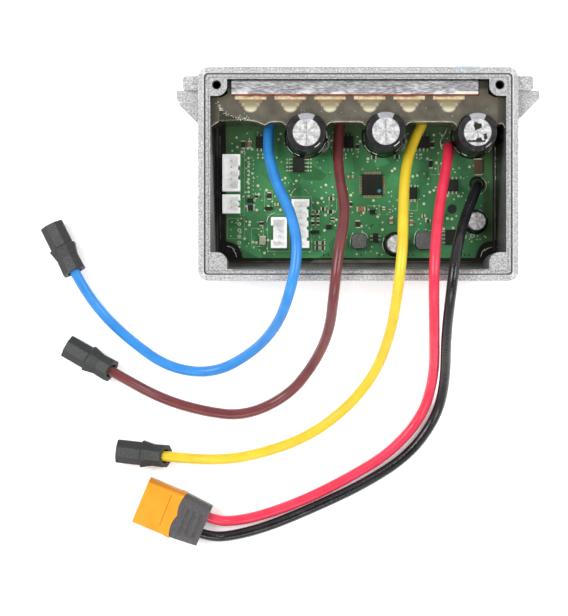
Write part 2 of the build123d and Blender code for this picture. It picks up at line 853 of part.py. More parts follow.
with BuildPart() as power_connector_contacts:
    with BuildSketch(cross_section(connector_length - contact_recess - contact_length)):
        with Locations(*contact_places):
            Circle(contact_radius)
            Circle(contact_bore, mode=Mode.SUBTRACT)
    extrude(amount=contact_length)
save(power_connector_contacts.part, "power_connector_contacts")


# ---- Cords: from the board or the grey potting, over the front rim, along the table, into their plugs ----
def plug_entry(colour):
    """A phase cord's last two points: behind its plug, and on the floor of the plug's bore."""
    frame = plugs[colour][0]
    behind = frame.from_local_coords(Vector(0, 0, plug_length + plug_run_out))
    seat = frame.from_local_coords(Vector(0, 0, plug_length - plug_bore_depth))
    return [tuple(behind), tuple(seat)]


def cap_entry(side):
    """A supply cord's last two points, on one side of the connector's cap."""
    across = side * cord_spacing / 2
    behind = connector.from_local_coords(Vector(-cap_run_out, across, connector_axis_z))
    seat = connector.from_local_coords(Vector(cap_bore_depth, across, connector_axis_z))
    return [tuple(behind), tuple(seat)]


lying = 1.8  # a cord's middle where it lies on the table
slab_exit = slab_front + slab_pocket
routes = {
    "blue": [
        (-28.8, slab_exit, 13.0),
        (-30.0, 10.0, 15.0),
        (-27.0, -2.0, 22.0),
        (-21.5, -13.5, 31.0),
        (-19.5, -25.0, 36.0),
        (-22.0, -38.5, 36.0),
        (-26.5, -50.0, 24.0),
        (-35.0, -59.0, 9.0),
        (-48.0, -66.0, lying),
        (-63.5, -64.0, lying),
        (-76.5, -54.5, lying),
        (-86.0, -45.5, lying),
        *plug_entry("blue"),
    ],
    "brown": [
        (-5.2, slab_exit, 13.0),
        (-6.4, 10.5, 15.0),
        (-6.0, -0.5, 22.0),
        (-4.0, -12.0, 30.0),
        (-6.5, -25.0, 36.0),
        (-8.0, -38.5, 36.0),
        (-9.2, -51.5, 23.0),
        (-14.0, -62.5, 9.0),
        (-22.5, -73.5, lying),
        (-37.5, -80.5, lying),
        (-52.5, -78.5, lying),
        (-66.0, -74.3, lying),
        *plug_entry("brown"),
    ],
    "yellow": [
        (22.3, slab_exit, 13.0),
        (18.0, 10.5, 15.0),
        (15.5, -0.5, 22.0),
        (14.5, -13.0, 31.0),
        (14.0, -25.0, 36.0),
        (12.5, -38.5, 36.0),
        (11.0, -51.5, 24.0),
        (6.5, -66.0, 9.0),
        (-4.0, -79.0, lying),
        (-18.0, -88.5, lying),
        (-35.5, -94.0, lying),
        (-47.0, -95.2, lying),
        *plug_entry("yellow"),
    ],
    "red": [
        (31.0, 10.4, board_top),
        (31.0, 10.4, 14.0),
        (29.8, 4.0, 17.5),
        (27.0, -8.5, 25.5),
        (24.5, -23.5, 35.0),
        (24.0, -38.0, 36.5),
        (25.1, -52.5, 25.0),
        (26.3, -66.5, 9.0),
        (23.0, -80.4, lying),
        (11.8, -93.0, lying),
        (-3.4, -102.0, lying),
        (-17.6, -109.0, lying),
        (-31.6, -114.1, lying),
        (-41.0, -115.9, 2.4),
        *cap_entry(-1),
    ],
    "black": [
        (40.6, -2.1, board_top),
        (40.6, -2.1, 14.0),
        (38.4, -7.2, 18.0),
        (35.0, -14.5, 23.0),
        (31.5, -25.0, 34.0),
        (29.6, -38.0, 36.5),
        (28.9, -52.5, 25.0),
        (30.0, -68.0, 9.0),
        (27.7, -80.6, lying),
        (18.5, -93.4, lying),
        (3.4, -103.2, lying),
        (-13.9, -111.3, lying),
        (-29.5, -117.8, lying),
        (-41.5, -120.9, 2.2),
        *cap_entry(1),
    ],
}


def corner_radii(points):
    """For each corner, 0.45 of its shorter run over the tangent of half its turn."""
    runs = [after - before for before, after in zip(points, points[1:])]
    radii = []
    for before, after in zip(runs, runs[1:]):
        half_turn = math.radians(before.get_angle(after) / 2)
        radii.append(0.45 * min(before.length, after.length) / math.tan(half_turn))
    return radii


cords = {}
for colour, route in routes.items():
    points = [Vector(*point) for point in route]
    radii = corner_radii(points)
    with BuildPart() as cord:
        with BuildLine() as path:
            FilletPolyline(*points, radius=radii)
        with BuildSketch(Plane(origin=points[0], z_dir=points[1] - points[0])):
            Circle(cord_radius)
        sweep()
    cords[colour] = cord.part
    save(cord.part, f"cord_{colour}")
    length = sum(edge.length for edge in path.edges())
    share = cord.part.volume / (math.pi * cord_radius**2 * length)
    print(f"{colour}: {length:.1f} mm long, volume over section times length {share:.4f}")
    print("   radii", [round(radius, 1) for radius in radii])

# ---- Pottings: what is left of the hollow round the pieces they hold ----
with BuildPart() as potting_base:
    add(cavity.part)
    with Locations((0, 0, floor_z)):
        Box(
            case_length,
            case_width + 2,
            board_top - floor_z,
            align=(Align.CENTER, Align.CENTER, Align.MIN),
            mode=Mode.INTERSECT,
        )
    with BuildSketch(Plane.XY.offset(board_z)):
        with Locations(((board_left + board_right) / 2, (board_front + board_back) / 2)):
            Rectangle(board_right - board_left, board_back - board_front)
        with Locations((board_left, board_front), (board_right, board_front)):
            Circle(board_corner_cut, mode=Mode.SUBTRACT)
    extrude(amount=board_thickness, mode=Mode.SUBTRACT)
    for held in (heatsink_bar, transistor_leads, bulk_capacitor_leads):
        add(held.part, mode=Mode.SUBTRACT)
save(potting_base.part, "potting_base")

with BuildPart() as potting_slab:
    add(cavity.part)
    with Locations((slab_left, slab_front, board_top)):
        Box(
            case_length,
            slab_back - slab_front,
            slab_top - board_top,
            align=(Align.MIN, Align.MIN, Align.MIN),
            mode=Mode.INTERSECT,
        )
    for held in (heatsink_bar, insulator_film, transistor_tabs, transistor_leads):
        add(held.part, mode=Mode.SUBTRACT)
    for held in (insulating_bushes.part, clamp_screws.part, *transistors):
        add(held, mode=Mode.SUBTRACT)
    with Locations(*[(x, y, board_top) for x, y in bulk_places]):
        Cylinder(
            sleeve_radius,
            case_height,
            align=(Align.CENTER, Align.CENTER, Align.MIN),
            mode=Mode.SUBTRACT,
        )
    for colour in ("blue", "brown", "yellow"):
        start = Vector(*routes[colour][0])
        along = Vector(*routes[colour][1]) - start
        with BuildSketch(Plane(origin=start, z_dir=along)):
            Circle(cord_radius + pocket_clearance)
        extrude(amount=2 * slab_pocket, mode=Mode.SUBTRACT)
save(potting_slab.part, "potting_slab")
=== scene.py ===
import math
import random

import bpy
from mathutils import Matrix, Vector


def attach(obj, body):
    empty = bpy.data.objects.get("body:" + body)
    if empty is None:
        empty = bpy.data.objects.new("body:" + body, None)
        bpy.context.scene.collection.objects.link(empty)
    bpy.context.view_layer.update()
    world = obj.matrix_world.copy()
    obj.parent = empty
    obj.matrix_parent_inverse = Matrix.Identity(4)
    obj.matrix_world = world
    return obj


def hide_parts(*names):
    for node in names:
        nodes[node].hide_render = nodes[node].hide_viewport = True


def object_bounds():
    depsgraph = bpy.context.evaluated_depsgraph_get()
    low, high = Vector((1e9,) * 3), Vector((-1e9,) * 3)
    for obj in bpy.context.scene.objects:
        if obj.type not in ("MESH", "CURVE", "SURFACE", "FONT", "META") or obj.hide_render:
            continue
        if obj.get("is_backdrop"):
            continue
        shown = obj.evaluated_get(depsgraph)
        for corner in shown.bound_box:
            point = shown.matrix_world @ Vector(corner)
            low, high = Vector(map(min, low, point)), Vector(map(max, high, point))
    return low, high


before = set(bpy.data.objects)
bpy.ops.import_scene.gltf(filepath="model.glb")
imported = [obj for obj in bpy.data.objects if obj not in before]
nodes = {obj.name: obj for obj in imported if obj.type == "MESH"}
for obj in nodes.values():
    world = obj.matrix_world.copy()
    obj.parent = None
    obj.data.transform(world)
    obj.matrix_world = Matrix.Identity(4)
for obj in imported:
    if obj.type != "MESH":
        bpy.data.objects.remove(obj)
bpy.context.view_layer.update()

# Sizes from the part, in metres
CASE_Y = -0.0002
OPENING_HALF_X = 0.0481
OPENING_HALF_Y = 0.0309
LEDGE_Z = 0.0294
RIM_Z = 0.030
STEP_HALF_X = 0.05005
STEP_HALF_Y = 0.03275
BOARD_Z = 0.0086
FIRST_TRANSISTOR_X = -0.035
TRANSISTOR_PITCH = 0.01293
TRANSISTORS = 6
SLAB_FRONT = 0.0171
SLAB_BACK = 0.0303
SLAB_TOP = 0.0268
BAR_FRONT = 0.0255
BULK_PLACES = [(-0.0168, 0.01345), (0.00905, 0.01385), (0.0389, 0.0135)]
SLEEVE_TOP = 0.0286
SLEEVE_RADIUS = 0.0063
SLAB_HOLE_RADIUS = SLEEVE_RADIUS + 0.0002
SMALL_CAN_PLACES = [(0.0401, -0.0148), (0.0132, -0.02235)]
CORD_RADIUS = 0.00175

# Heights of what is laid on the board, each clear of the one below it
TRACE_Z = BOARD_Z + 0.00001
PRINT_Z = BOARD_Z + 0.00002
PAD_Z = BOARD_Z + 0.00003


# ---- Node materials ----
class Finish:
    """A principled material, with short ways to make the nodes that feed it."""

    def __init__(self, name, **values):
        self.material = bpy.data.materials.new(name)
        self.material.use_nodes = True
        self.tree = self.material.node_tree
        self.shader = self.tree.nodes["Principled BSDF"]
        self.place = self.tree.nodes.new("ShaderNodeTexCoord").outputs["Object"]
        for socket, value in values.items():
            self.feed(self.shader, socket.replace("_", " "), value)

    def feed(self, node, socket, value):
        """Sets a socket to a number or colour, or links an output to it."""
        if isinstance(value, bpy.types.NodeSocket):
            self.tree.links.new(value, node.inputs[socket])
        elif isinstance(value, tuple) and len(value) == 3 and len(node.inputs[socket].default_value) == 4:
            node.inputs[socket].default_value = (*value, 1)
        else:
            node.inputs[socket].default_value = value

    def axis(self, name):
        """The surface point's X, Y or Z."""
        split = self.tree.nodes.new("ShaderNodeSeparateXYZ")
        self.feed(split, "Vector", self.place)
        return split.outputs[name]

    def math(self, operation, first, second=0.0, third=0.0):
        node = self.tree.nodes.new("ShaderNodeMath")
        node.operation = operation
        for index, value in enumerate((first, second, third)):
            self.feed(node, index, value)
        return node.outputs[0]

    def plus(self, first, second):
        return self.math("ADD", first, second)

    def minus(self, first, second):
        return self.math("SUBTRACT", first, second)

    def times(self, first, second):
        return self.math("MULTIPLY", first, second)

    def times_plus(self, first, second, third):
        return self.math("MULTIPLY_ADD", first, second, third)

    def least(self, first, second):
        return self.math("MINIMUM", first, second)

    def most(self, first, second):
        return self.math("MAXIMUM", first, second)

    def size(self, value):
        """The value without its sign."""
        return self.math("ABSOLUTE", value)

    def above(self, value, limit):
        """1 where the value is above the limit, else 0."""
        return self.math("GREATER_THAN", value, limit)

    def below(self, value, limit):
        """1 where the value is below the limit, else 0."""
        return self.math("LESS_THAN", value, limit)

    def opposite(self, mask):
        """0 where the mask is 1, and 1 where it is 0."""
        return self.math("SUBTRACT", 1.0, mask)

    def ramped(self, value, low, high):
        """0 below low, 1 above high, smooth between."""
        node = self.tree.nodes.new("ShaderNodeMapRange")
        node.interpolation_type = "SMOOTHSTEP"
        for socket, number in (("Value", value), ("From Min", low), ("From Max", high)):
            self.feed(node, socket, number)
        return node.outputs[0]

    def noise(self, scale, detail=3.0, stretch=(1, 1, 1)):
        mapping = self.tree.nodes.new("ShaderNodeMapping")
        self.feed(mapping, "Vector", self.place)
        mapping.inputs["Scale"].default_value = stretch
        node = self.tree.nodes.new("ShaderNodeTexNoise")
        self.feed(node, "Vector", mapping.outputs[0])
        self.feed(node, "Scale", scale)
        self.feed(node, "Detail", detail)
        return node.outputs[0]

    def cells(self, scale):
        """One colour for each cell."""
        node = self.tree.nodes.new("ShaderNodeTexVoronoi")
        self.feed(node, "Vector", self.place)
        self.feed(node, "Scale", scale)
        return node.outputs["Color"]

    def ramp(self, factor, *stops):
        """A colour for each factor: stops are (factor, colour) in rising order."""
        node = self.tree.nodes.new("ShaderNodeValToRGB")
        elements = node.color_ramp.elements
        elements[0].position = stops[0][0]
        elements[1].position = stops[-1][0]
        for position, colour in stops[1:-1]:
            elements.new(position)
        for element, (position, colour) in zip(sorted(elements, key=lambda e: e.position), stops):
            element.color = (*colour, 1)
        self.feed(node, "Fac", factor)
        return node.outputs[0]

    def mix(self, factor, first, second):
        node = self.tree.nodes.new("ShaderNodeMix")
        node.data_type = "RGBA"
        self.feed(node, 0, factor)
        self.feed(node, 6, first)
        self.feed(node, 7, second)
        return node.outputs[2]

    def colour(self, value):
        self.feed(self.shader, "Base Color", value)

    def bump(self, height, distance, strength=1.0):
        node = self.tree.nodes.new("ShaderNodeBump")
        self.feed(node, "Strength", strength)
        self.feed(node, "Distance", distance)
        self.feed(node, "Height", height)
        self.tree.links.new(node.outputs[0], self.shader.inputs["Normal"])


def speckled(name, dark, light, scale, roughness, bump=0.00002, specular=0.5):
    """A finish whose colour wanders between two tones at one grain size."""
    made = Finish(name, Roughness=roughness, Specular_IOR_Level=specular)
    grain = made.noise(scale, 4.0)
    made.colour(made.ramp(grain, (0.3, dark), (0.7, light)))
    made.bump(grain, bump)
    return made.material


def cast_housing():
    """Bare speckled casting outside, and dark resin-wetted walls inside the hollow."""
    made = Finish("cast_housing")
    side = made.size(made.axis("X"))
    depth = made.size(made.minus(made.axis("Y"), CASE_Y))
    within_x = made.below(side, OPENING_HALF_X + 0.0001)
    within_y = made.below(depth, OPENING_HALF_Y + 0.0001)
    below = made.below(made.axis("Z"), LEDGE_Z - 0.00012)
    inside = made.times(made.times(within_x, within_y), below)
    fine = made.noise(1900, 2.0)
    coarse = made.noise(420, 4.0)
    grain = made.plus(made.times(fine, 0.82), made.times(coarse, 0.18))
    ledge_greys = ((0.36, (0.22, 0.22, 0.225)), (0.5, (0.36, 0.36, 0.365)), (0.64, (0.55, 0.55, 0.555)))
    flank_greys = ((0.36, (0.25, 0.25, 0.255)), (0.5, (0.42, 0.42, 0.425)), (0.64, (0.62, 0.62, 0.625)))
    ledge = made.ramp(grain, *ledge_greys)
    flank = made.ramp(grain, *flank_greys)
    raised = made.above(made.axis("Z"), RIM_Z - 0.0005)
    band = made.most(made.above(side, STEP_HALF_X), made.above(depth, STEP_HALF_Y))
    bare = made.mix(band, ledge, flank)
    # A pale line along the step between them: a painted highlight on its edge
    step_highlight_x = made.opposite(made.ramped(made.size(made.minus(side, STEP_HALF_X)), 0.0001, 0.0005))
    step_highlight_y = made.opposite(made.ramped(made.size(made.minus(depth, STEP_HALF_Y)), 0.0001, 0.0005))
    step = made.times(made.most(step_highlight_x, step_highlight_y), raised)
    bare = made.mix(made.times(step, 0.35), bare, (0.86, 0.86, 0.87))
    # A dark score round the opening, this far from its edge: painted shade of a narrow groove there
    near, far = 0.00040, 0.00068
    narrow = made.times(made.below(side, OPENING_HALF_X + near), made.below(depth, OPENING_HALF_Y + near))
    wide = made.times(made.below(side, OPENING_HALF_X + far), made.below(depth, OPENING_HALF_Y + far))
    score_shade = made.times(made.minus(wide, narrow), made.ramped(coarse, 0.3, 0.6))
    bare = made.mix(made.times(score_shade, 0.75), bare, (0.10, 0.10, 0.10))
    # Painted shade in the groove between the raised band and the ledge
    groove_shade = made.times(made.below(made.axis("Z"), LEDGE_Z - 0.0002), made.opposite(band))
    bare = made.mix(made.times(groove_shade, 0.6), bare, (0.12, 0.12, 0.12))
    # The straight part of the front lip is rounded, so it looks dark
    straight_half, lip = 0.0410, 0.00035
    straight = made.times(made.below(side, straight_half), made.below(made.axis("Y"), 0.0))
    rounded = made.times(made.below(depth, OPENING_HALF_Y + lip), straight)
    bare = made.mix(made.times(rounded, 0.8), bare, (0.13, 0.13, 0.13))
    # The walls: black below, streaked above, lighter grey towards the top and the front, less so at the
    # right
    height = made.ramped(made.axis("Z"), 0.014, LEDGE_Z)
    leaning = made.times_plus(made.axis("Y"), -0.35, made.axis("Z"))
    pale_top = made.ramped(made.times_plus(fine, 0.001, leaning), 0.0180, 0.0245)
    streaks = made.noise(160, 3.0, (1, 1, 0.12))
    streaked = made.ramp(streaks, (0.3, (0.022, 0.022, 0.020)), (0.8, (0.085, 0.085, 0.078)))
    wall = made.mix(height, (0.008, 0.008, 0.008), streaked)
    dark_side = made.above(made.axis("X"), OPENING_HALF_X - 0.0015)
    shown = made.times_plus(dark_side, -0.65, 0.85)
    wall = made.mix(made.times(pale_top, shown), wall, (0.34, 0.34, 0.335))
    made.colour(made.mix(inside, bare, wall))
    made.feed(made.shader, "Metallic", made.times_plus(inside, -0.2, 0.2))
    made.feed(made.shader, "Roughness", made.times_plus(inside, -0.24, 0.5))
    made.feed(made.shader, "Specular IOR Level", made.times_plus(inside, -0.35, 0.5))
    made.bump(made.times(fine, made.opposite(inside)), 0.00005, 0.8)
    return made.material


def green_mask():
    """Solder mask over copper: broad pours a shade lighter than the gaps between them."""
    made = Finish("green_mask", Roughness=0.35, Coat_Weight=0.4, Coat_Roughness=0.05)
    pours = made.cells(170)
    tone = made.ramp(pours, (0.35, (0.028, 0.150, 0.045)), (0.65, (0.052, 0.255, 0.088)))
    clouds = made.ramped(made.noise(70, 3.0), 0.35, 0.7)
    tone = made.mix(clouds, tone, (0.040, 0.195, 0.064))
    under_slab = made.ramped(made.axis("Y"), 0.0060, 0.0165)
    tone = made.mix(made.times(under_slab, 0.6), tone, (0.075, 0.110, 0.045))
    edge = made.above(made.size(made.axis("X")), 0.0425)
    made.colour(made.mix(made.times(edge, 0.7), tone, (0.060, 0.115, 0.035)))
    made.bump(pours, 0.00002, 0.5)
    return made.material


def translucent_potting():
    """Murky resin; cream shapes of the tabs, bushes and screw heads, as they look lit through its top, are
    painted on it as painted light.
    """
    made = Finish("translucent_potting", Roughness=0.22, Coat_Weight=0.35, Coat_Roughness=0.05)
    across, along = made.axis("X"), made.axis("Y")
    step = made.math("DIVIDE", made.minus(across, FIRST_TRANSISTOR_X), TRANSISTOR_PITCH)
    off_centre = made.size(made.minus(step, made.math("ROUND", step)))
    aside = made.times(off_centre, TRANSISTOR_PITCH)
    on_row = made.below(made.size(made.minus(step, (TRANSISTORS - 1) / 2)), TRANSISTORS / 2)

    def patch(front, back, half_width, soft):
        """1 inside a rectangle over each transistor, with soft edges."""
        from_middle = made.size(made.minus(along, (front + back) / 2))
        reach = (back - front) / 2
        long_way = made.opposite(made.ramped(from_middle, reach - soft, reach + soft))
        short_way = made.opposite(made.ramped(aside, half_width - soft, half_width + soft))
        return made.times(made.times(long_way, short_way), on_row)

    bar = patch(0.0243, 0.0255, 0.0051, 0.00015)
    stain = patch(0.0251, 0.0259, 0.0053, 0.0003)
    flange = patch(0.0231, 0.0243, 0.0037, 0.0005)
    neck = patch(0.0221, 0.0232, 0.0029, 0.0003)
    ahead = made.math("POWER", made.math("DIVIDE", made.minus(along, 0.0220), 0.0019), 2.0)
    beside = made.math("POWER", made.math("DIVIDE", aside, 0.0023), 2.0)
    head = made.opposite(made.ramped(made.plus(ahead, beside), 0.45, 1.3))
    head = made.times(head, on_row)
    cloud = made.noise(240, 4.0)
    glitter = made.ramped(made.noise(1100, 3.0), 0.35, 0.7)
    murk = made.ramp(cloud, (0.3, (0.088, 0.080, 0.062)), (0.7, (0.150, 0.138, 0.110)))
    warm = made.ramped(along, 0.0195, 0.0250)
    murk = made.mix(made.times(warm, 0.5), murk, (0.100, 0.074, 0.048))
    film = made.ramped(made.size(across), 0.0450, 0.0462)
    murk = made.mix(made.times(film, 0.45), murk, (0.030, 0.031, 0.020))
    slope = -0.52
    bubble_line = made.times_plus(across, slope, 0.0180 + slope * 0.0383)
    thin = made.ramped(made.minus(bubble_line, along), 0.0001, 0.0007)
    thin = made.times(thin, made.below(made.size(made.plus(across, 0.0415)), 0.0037))
    murk = made.mix(made.times(thin, 0.8), murk, (0.022, 0.028, 0.014))
    # Painted shade in the gaps beside the bar's ends, at the back
    gap_shade = made.ramped(along, 0.0270, 0.0285)
    murk = made.mix(made.times(gap_shade, 0.85), murk, (0.026, 0.027, 0.022))
    tone = made.mix(made.times(flange, 0.7), murk, (0.30, 0.22, 0.12))
    tone = made.mix(made.times(neck, 0.8), tone, (0.44, 0.37, 0.24))
    # Painted highlight: each screw head is bright at its front and darker at its back
    head_highlight = made.mix(made.ramped(along, 0.0205, 0.0228), (0.74, 0.69, 0.50), (0.26, 0.22, 0.13))
    tone = made.mix(made.times(head, 0.9), tone, head_highlight)
    bar_tone = made.mix(glitter, (0.55, 0.42, 0.24), (0.76, 0.64, 0.44))
    tone = made.mix(made.times(bar, 0.92), tone, bar_tone)
    tone = made.mix(made.times(stain, made.ramped(cloud, 0.4, 0.6)), tone, (0.26, 0.08, 0.03))
    made.colour(tone)
    front = made.opposite(made.ramped(along, SLAB_FRONT, SLAB_FRONT + 0.0035))
    made.feed(made.shader, "Alpha", made.times_plus(front, -0.10, 0.90))
    made.bump(cloud, 0.00012, 0.4)
    return made.material


def wet_resin():
    """Black resin; where a thin film of it rises towards the walls it is painted grey, as a painted
    reflection on that slope.
    """
    made = Finish("wet_resin", Roughness=0.12, Specular_IOR_Level=0.35)
    from_side = made.minus(OPENING_HALF_X, made.size(made.axis("X")))
    from_front = made.plus(made.axis("Y"), OPENING_HALF_Y - CASE_Y)
    near = made.least(from_side, made.times(from_front, 0.7))
    wander = made.noise(180, 4.0)
    reach = made.times_plus(wander, 0.0016, near)
    # Painted reflection: grey where the resin rises towards the walls
    rise_reflection = made.opposite(made.ramped(reach, 0.0009, 0.0032))
    black = made.ramp(wander, (0.3, (0.006, 0.006, 0.005)), (0.7, (0.026, 0.027, 0.020)))
    made.colour(made.mix(rise_reflection, black, (0.15, 0.15, 0.14)))
    made.bump(wander, 0.0004, 0.6)
    return made.material


def ferrite(name, top):
    """A ground grey top on an otherwise black ferrite block."""
    made = Finish(name, Roughness=0.45, Specular_IOR_Level=0.3)
    grain = made.noise(1300, 3.0)
    grey = made.ramp(grain, (0.3, (0.085, 0.086, 0.084)), (0.7, (0.150, 0.150, 0.146)))
    on_top = made.above(made.axis("Z"), top - 0.00008)
    made.colour(made.mix(on_top, (0.006, 0.006, 0.006), grey))
    made.bump(grain, 0.00003, 0.5)
    return made.material


def sawn_bar():
    """Aluminium sawn along X, with pale compound smeared along its front edge."""
    made = Finish("sawn_bar", Metallic=0.2, Roughness=0.45)
    saw = made.noise(3400, 5.0, (0.20, 1, 1))
    patches = made.noise(330, 5.0, (0.45, 1, 1))
    blend = made.times_plus(patches, 0.3, made.times(saw, 0.7))
    greys = ((0.36, (0.11, 0.11, 0.115)), (0.5, (0.29, 0.29, 0.30)), (0.63, (0.56, 0.56, 0.58)))
    metal = made.ramp(blend, *greys)
    front = made.opposite(made.ramped(made.axis("Y"), 0.0262, 0.0280))
    smear = made.times(made.ramped(patches, 0.53, 0.60), front)
    metal = made.mix(smear, metal, (0.66, 0.66, 0.65))
    lit_end = made.times(made.above(made.axis("X"), 0.0320), made.below(made.axis("Y"), 0.0269))
    metal = made.mix(made.times(lit_end, 0.8), metal, (0.74, 0.72, 0.60))
    made.colour(metal)
    made.bump(blend, 0.00008, 0.8)
    return made.material


def gold():
    """Bright gold plating."""
    made = Finish("gold_plate", Metallic=0.85, Roughness=0.3)
    grain = made.noise(1500, 3.0)
    made.colour(made.ramp(grain, (0.3, (0.645, 0.495, 0.255)), (0.7, (0.86, 0.66, 0.34))))
    made.bump(grain, 0.00001, 0.4)
    return made.material


def moulded(name, tone, spread=0.25, roughness=0.5, scale=900, bump=0.00003, specular=0.5):
    """Moulded plastic: a fine grain a little either side of one tone."""
    dark = tuple(part * (1 - spread) for part in tone)
    light = tuple(min(1.0, part * (1 + spread)) for part in tone)
    return speckled(name, dark, light, scale, roughness, bump, specular=specular)


def can_top(place, stained, bright_radius, painted_light_lift):
    """A can's top: brushed sectors between the vents, a darker turned edge, and perhaps dark stains."""
    x, y = place
    kind = "stained" if stained else "clean"
    made = Finish(f"can_top_{kind}_{round(x * 1000)}", Metallic=0.15, Roughness=0.4)
    across = made.minus(made.axis("X"), x)
    along = made.minus(made.axis("Y"), y)
    angle = made.math("ARCTAN2", along, across)
    sectors = made.math("SINE", made.times_plus(angle, 6.0, 0.8))
    grain = made.noise(1300, 4.0)
    blend = made.plus(made.times(sectors, 0.12), grain)
    # The lift brightens a top as painted light, making up for the shade it gets lower in the case
    dim, middle, bright = [(grey * painted_light_lift,) * 3 for grey in (0.32, 0.52, 0.70)]
    tone = made.ramp(blend, (0.3, dim), (0.5, middle), (0.72, bright))
    # Painted shade in the vent scores
    vent_shade = made.below(made.least(made.size(across), made.size(along)), 0.00016)
    tone = made.mix(made.times(vent_shade, 0.45), tone, (0.3, 0.3, 0.3))
    from_middle = made.math("SQRT", made.plus(made.times(across, across), made.times(along, along)))
    turned = made.ramped(from_middle, bright_radius - 0.0001, bright_radius + 0.0003)
    edge_tone = made.ramp(grain, (0.4, (0.02, 0.02, 0.02)), (0.62, (0.34, 0.34, 0.34)))
    tone = made.mix(turned, tone, edge_tone)
    if stained:
        blots = made.ramped(made.noise(330, 2.0), 0.555, 0.575)
        inner = made.opposite(made.ramped(made.most(made.size(across), made.size(along)), 0.0030, 0.0036))
        tone = made.mix(made.times(blots, inner), tone, (0.012, 0.011, 0.01))
    made.colour(tone)
    made.bump(grain, 0.00002, 0.5)
    return made.material


def capacitor_sleeve(place):
    """Black shrunk sleeve with the pale stripe of its negative side at the back."""
    x, y = place
    made = Finish(f"capacitor_sleeve_{round(x * 1000)}", Roughness=0.3)
    across = made.size(made.minus(made.axis("X"), x))
    along = made.minus(made.axis("Y"), y)
    stripe = made.below(across, made.times(along, 0.50))
    on_top = made.ramped(made.axis("Z"), SLEEVE_TOP - 0.0012, SLEEVE_TOP - 0.0004)
    made.feed(made.shader, "Specular IOR Level", made.times_plus(on_top, 0.40, 0.04))
    wander = made.noise(500, 3.0)
    black = made.ramp(wander, (0.3, (0.006, 0.006, 0.007)), (0.7, (0.024, 0.024, 0.028)))
    pale = made.ramp(wander, (0.3, (0.27, 0.275, 0.29)), (0.7, (0.36, 0.365, 0.38)))
    made.colour(made.mix(stripe, black, pale))
    made.bump(wander, 0.0004, 0.7)
    return made.material


def silicone(name, dark, light, roughness=0.34, wrinkles=0.0):
    """Silicone insulation: even colour, a slight waviness under a soft gloss."""
    made = Finish(name, Roughness=roughness, Coat_Weight=0.2, Coat_Roughness=0.2, Specular_IOR_Level=0.35)
    wander = made.noise(150, 3.0)
    fine = made.noise(1800, 2.0)
    blend = made.times_plus(fine, 0.25, made.times(wander, 0.75))
    made.colour(made.ramp(blend, (0.35, dark), (0.65, light)))
    made.bump(made.times_plus(fine, 0.3, wander), 0.0001 + wrinkles, 0.35)
    return made.material


def plug_moulding():
    """Black moulding, with painted light making the facets that face up a little paler."""
    made = Finish("plug_grey", Roughness=0.5, Specular_IOR_Level=0.35)
    facing = made.tree.nodes.new("ShaderNodeSeparateXYZ")
    made.feed(facing, "Vector", made.tree.nodes.new("ShaderNodeTexCoord").outputs["Normal"])
    # Painted light from above: the facets that face up are paler
    upward = made.ramped(facing.outputs["Z"], 0.75, 0.97)
    grain = made.noise(1400, 4.0)
    lower = made.ramp(grain, (0.3, (0.020, 0.0205, 0.0205)), (0.7, (0.034, 0.035, 0.035)))
    lit_facet_tone = made.ramp(grain, (0.3, (0.036, 0.037, 0.037)), (0.7, (0.062, 0.063, 0.063)))
    made.colour(made.mix(upward, lower, lit_facet_tone))
    made.bump(grain, 0.00006)
    return made.material


def white_nylon():
    """Nylon with a faint painted glow, for the light it lets through, so it never looks quite dark."""
    made = Finish("header_nylon", Roughness=0.45, Emission_Strength=0.14, Emission_Color=(1.0, 1.0, 0.99))
    made.colour(made.ramp(made.noise(700), (0.3, (0.76, 0.76, 0.75)), (0.7, (0.84, 0.84, 0.83))))
    return made.material


def chip_ceramic():
    """Brown ceramic, grey in the front left corner and darker at the right."""
    made = Finish("tan_ceramic", Roughness=0.4)
    grain = made.noise(1500, 3.0)
    brown = made.ramp(grain, (0.3, (0.17, 0.09, 0.04)), (0.7, (0.31, 0.17, 0.08)))
    grey = made.ramp(grain, (0.3, (0.32, 0.30, 0.22)), (0.7, (0.46, 0.44, 0.33)))
    front_left = made.times(made.below(made.axis("X"), -0.028), made.below(made.axis("Y"), -0.0175))
    right = made.above(made.axis("X"), 0.036)
    brown = made.mix(made.times(right, 0.75), brown, (0.05, 0.03, 0.018))
    made.colour(made.mix(front_left, brown, grey))
    made.bump(grain, 0.00003, 0.5)
    return made.material


def thin_film():
    """Clear film with a blue cast."""
    made = Finish("clear_film", Roughness=0.15, Alpha=0.32)
    made.colour(made.ramp(made.noise(300), (0.3, (0.50, 0.68, 0.88)), (0.7, (0.70, 0.82, 0.94))))
    return made.material


def connector_orange():
    """Orange moulding with a dark seam across it and a shaded band along its back side."""
    made = Finish("connector_orange", Roughness=0.42, Specular_IOR_Level=0.25)
    turn_x, turn_y = 0.930, -0.368
    along = made.times_plus(made.axis("X"), turn_x, made.times(made.axis("Y"), turn_y))
    across = made.times_plus(made.axis("X"), turn_y, made.times(made.axis("Y"), -turn_x))
    on_seam = made.below(made.size(made.plus(along, 0.01834)), 0.00012)
    on_stretch = made.below(made.size(made.minus(across, 0.1273)), 0.0055)
    seam = made.times(made.times(on_seam, on_stretch), 0.8)
    shaded = made.opposite(made.ramped(across, 0.1203, 0.1208))
    tone = made.ramp(made.noise(120, 3.0), (0.35, (0.84, 0.295, 0.016)), (0.65, (0.92, 0.340, 0.026)))
    tone = made.mix(made.times(shaded, 0.6), tone, (0.34, 0.15, 0.03))
    made.colour(made.mix(seam, tone, (0.30, 0.08, 0.01)))
    made.bump(made.noise(1500, 3.0), 0.00003, 0.4)
    return made.material


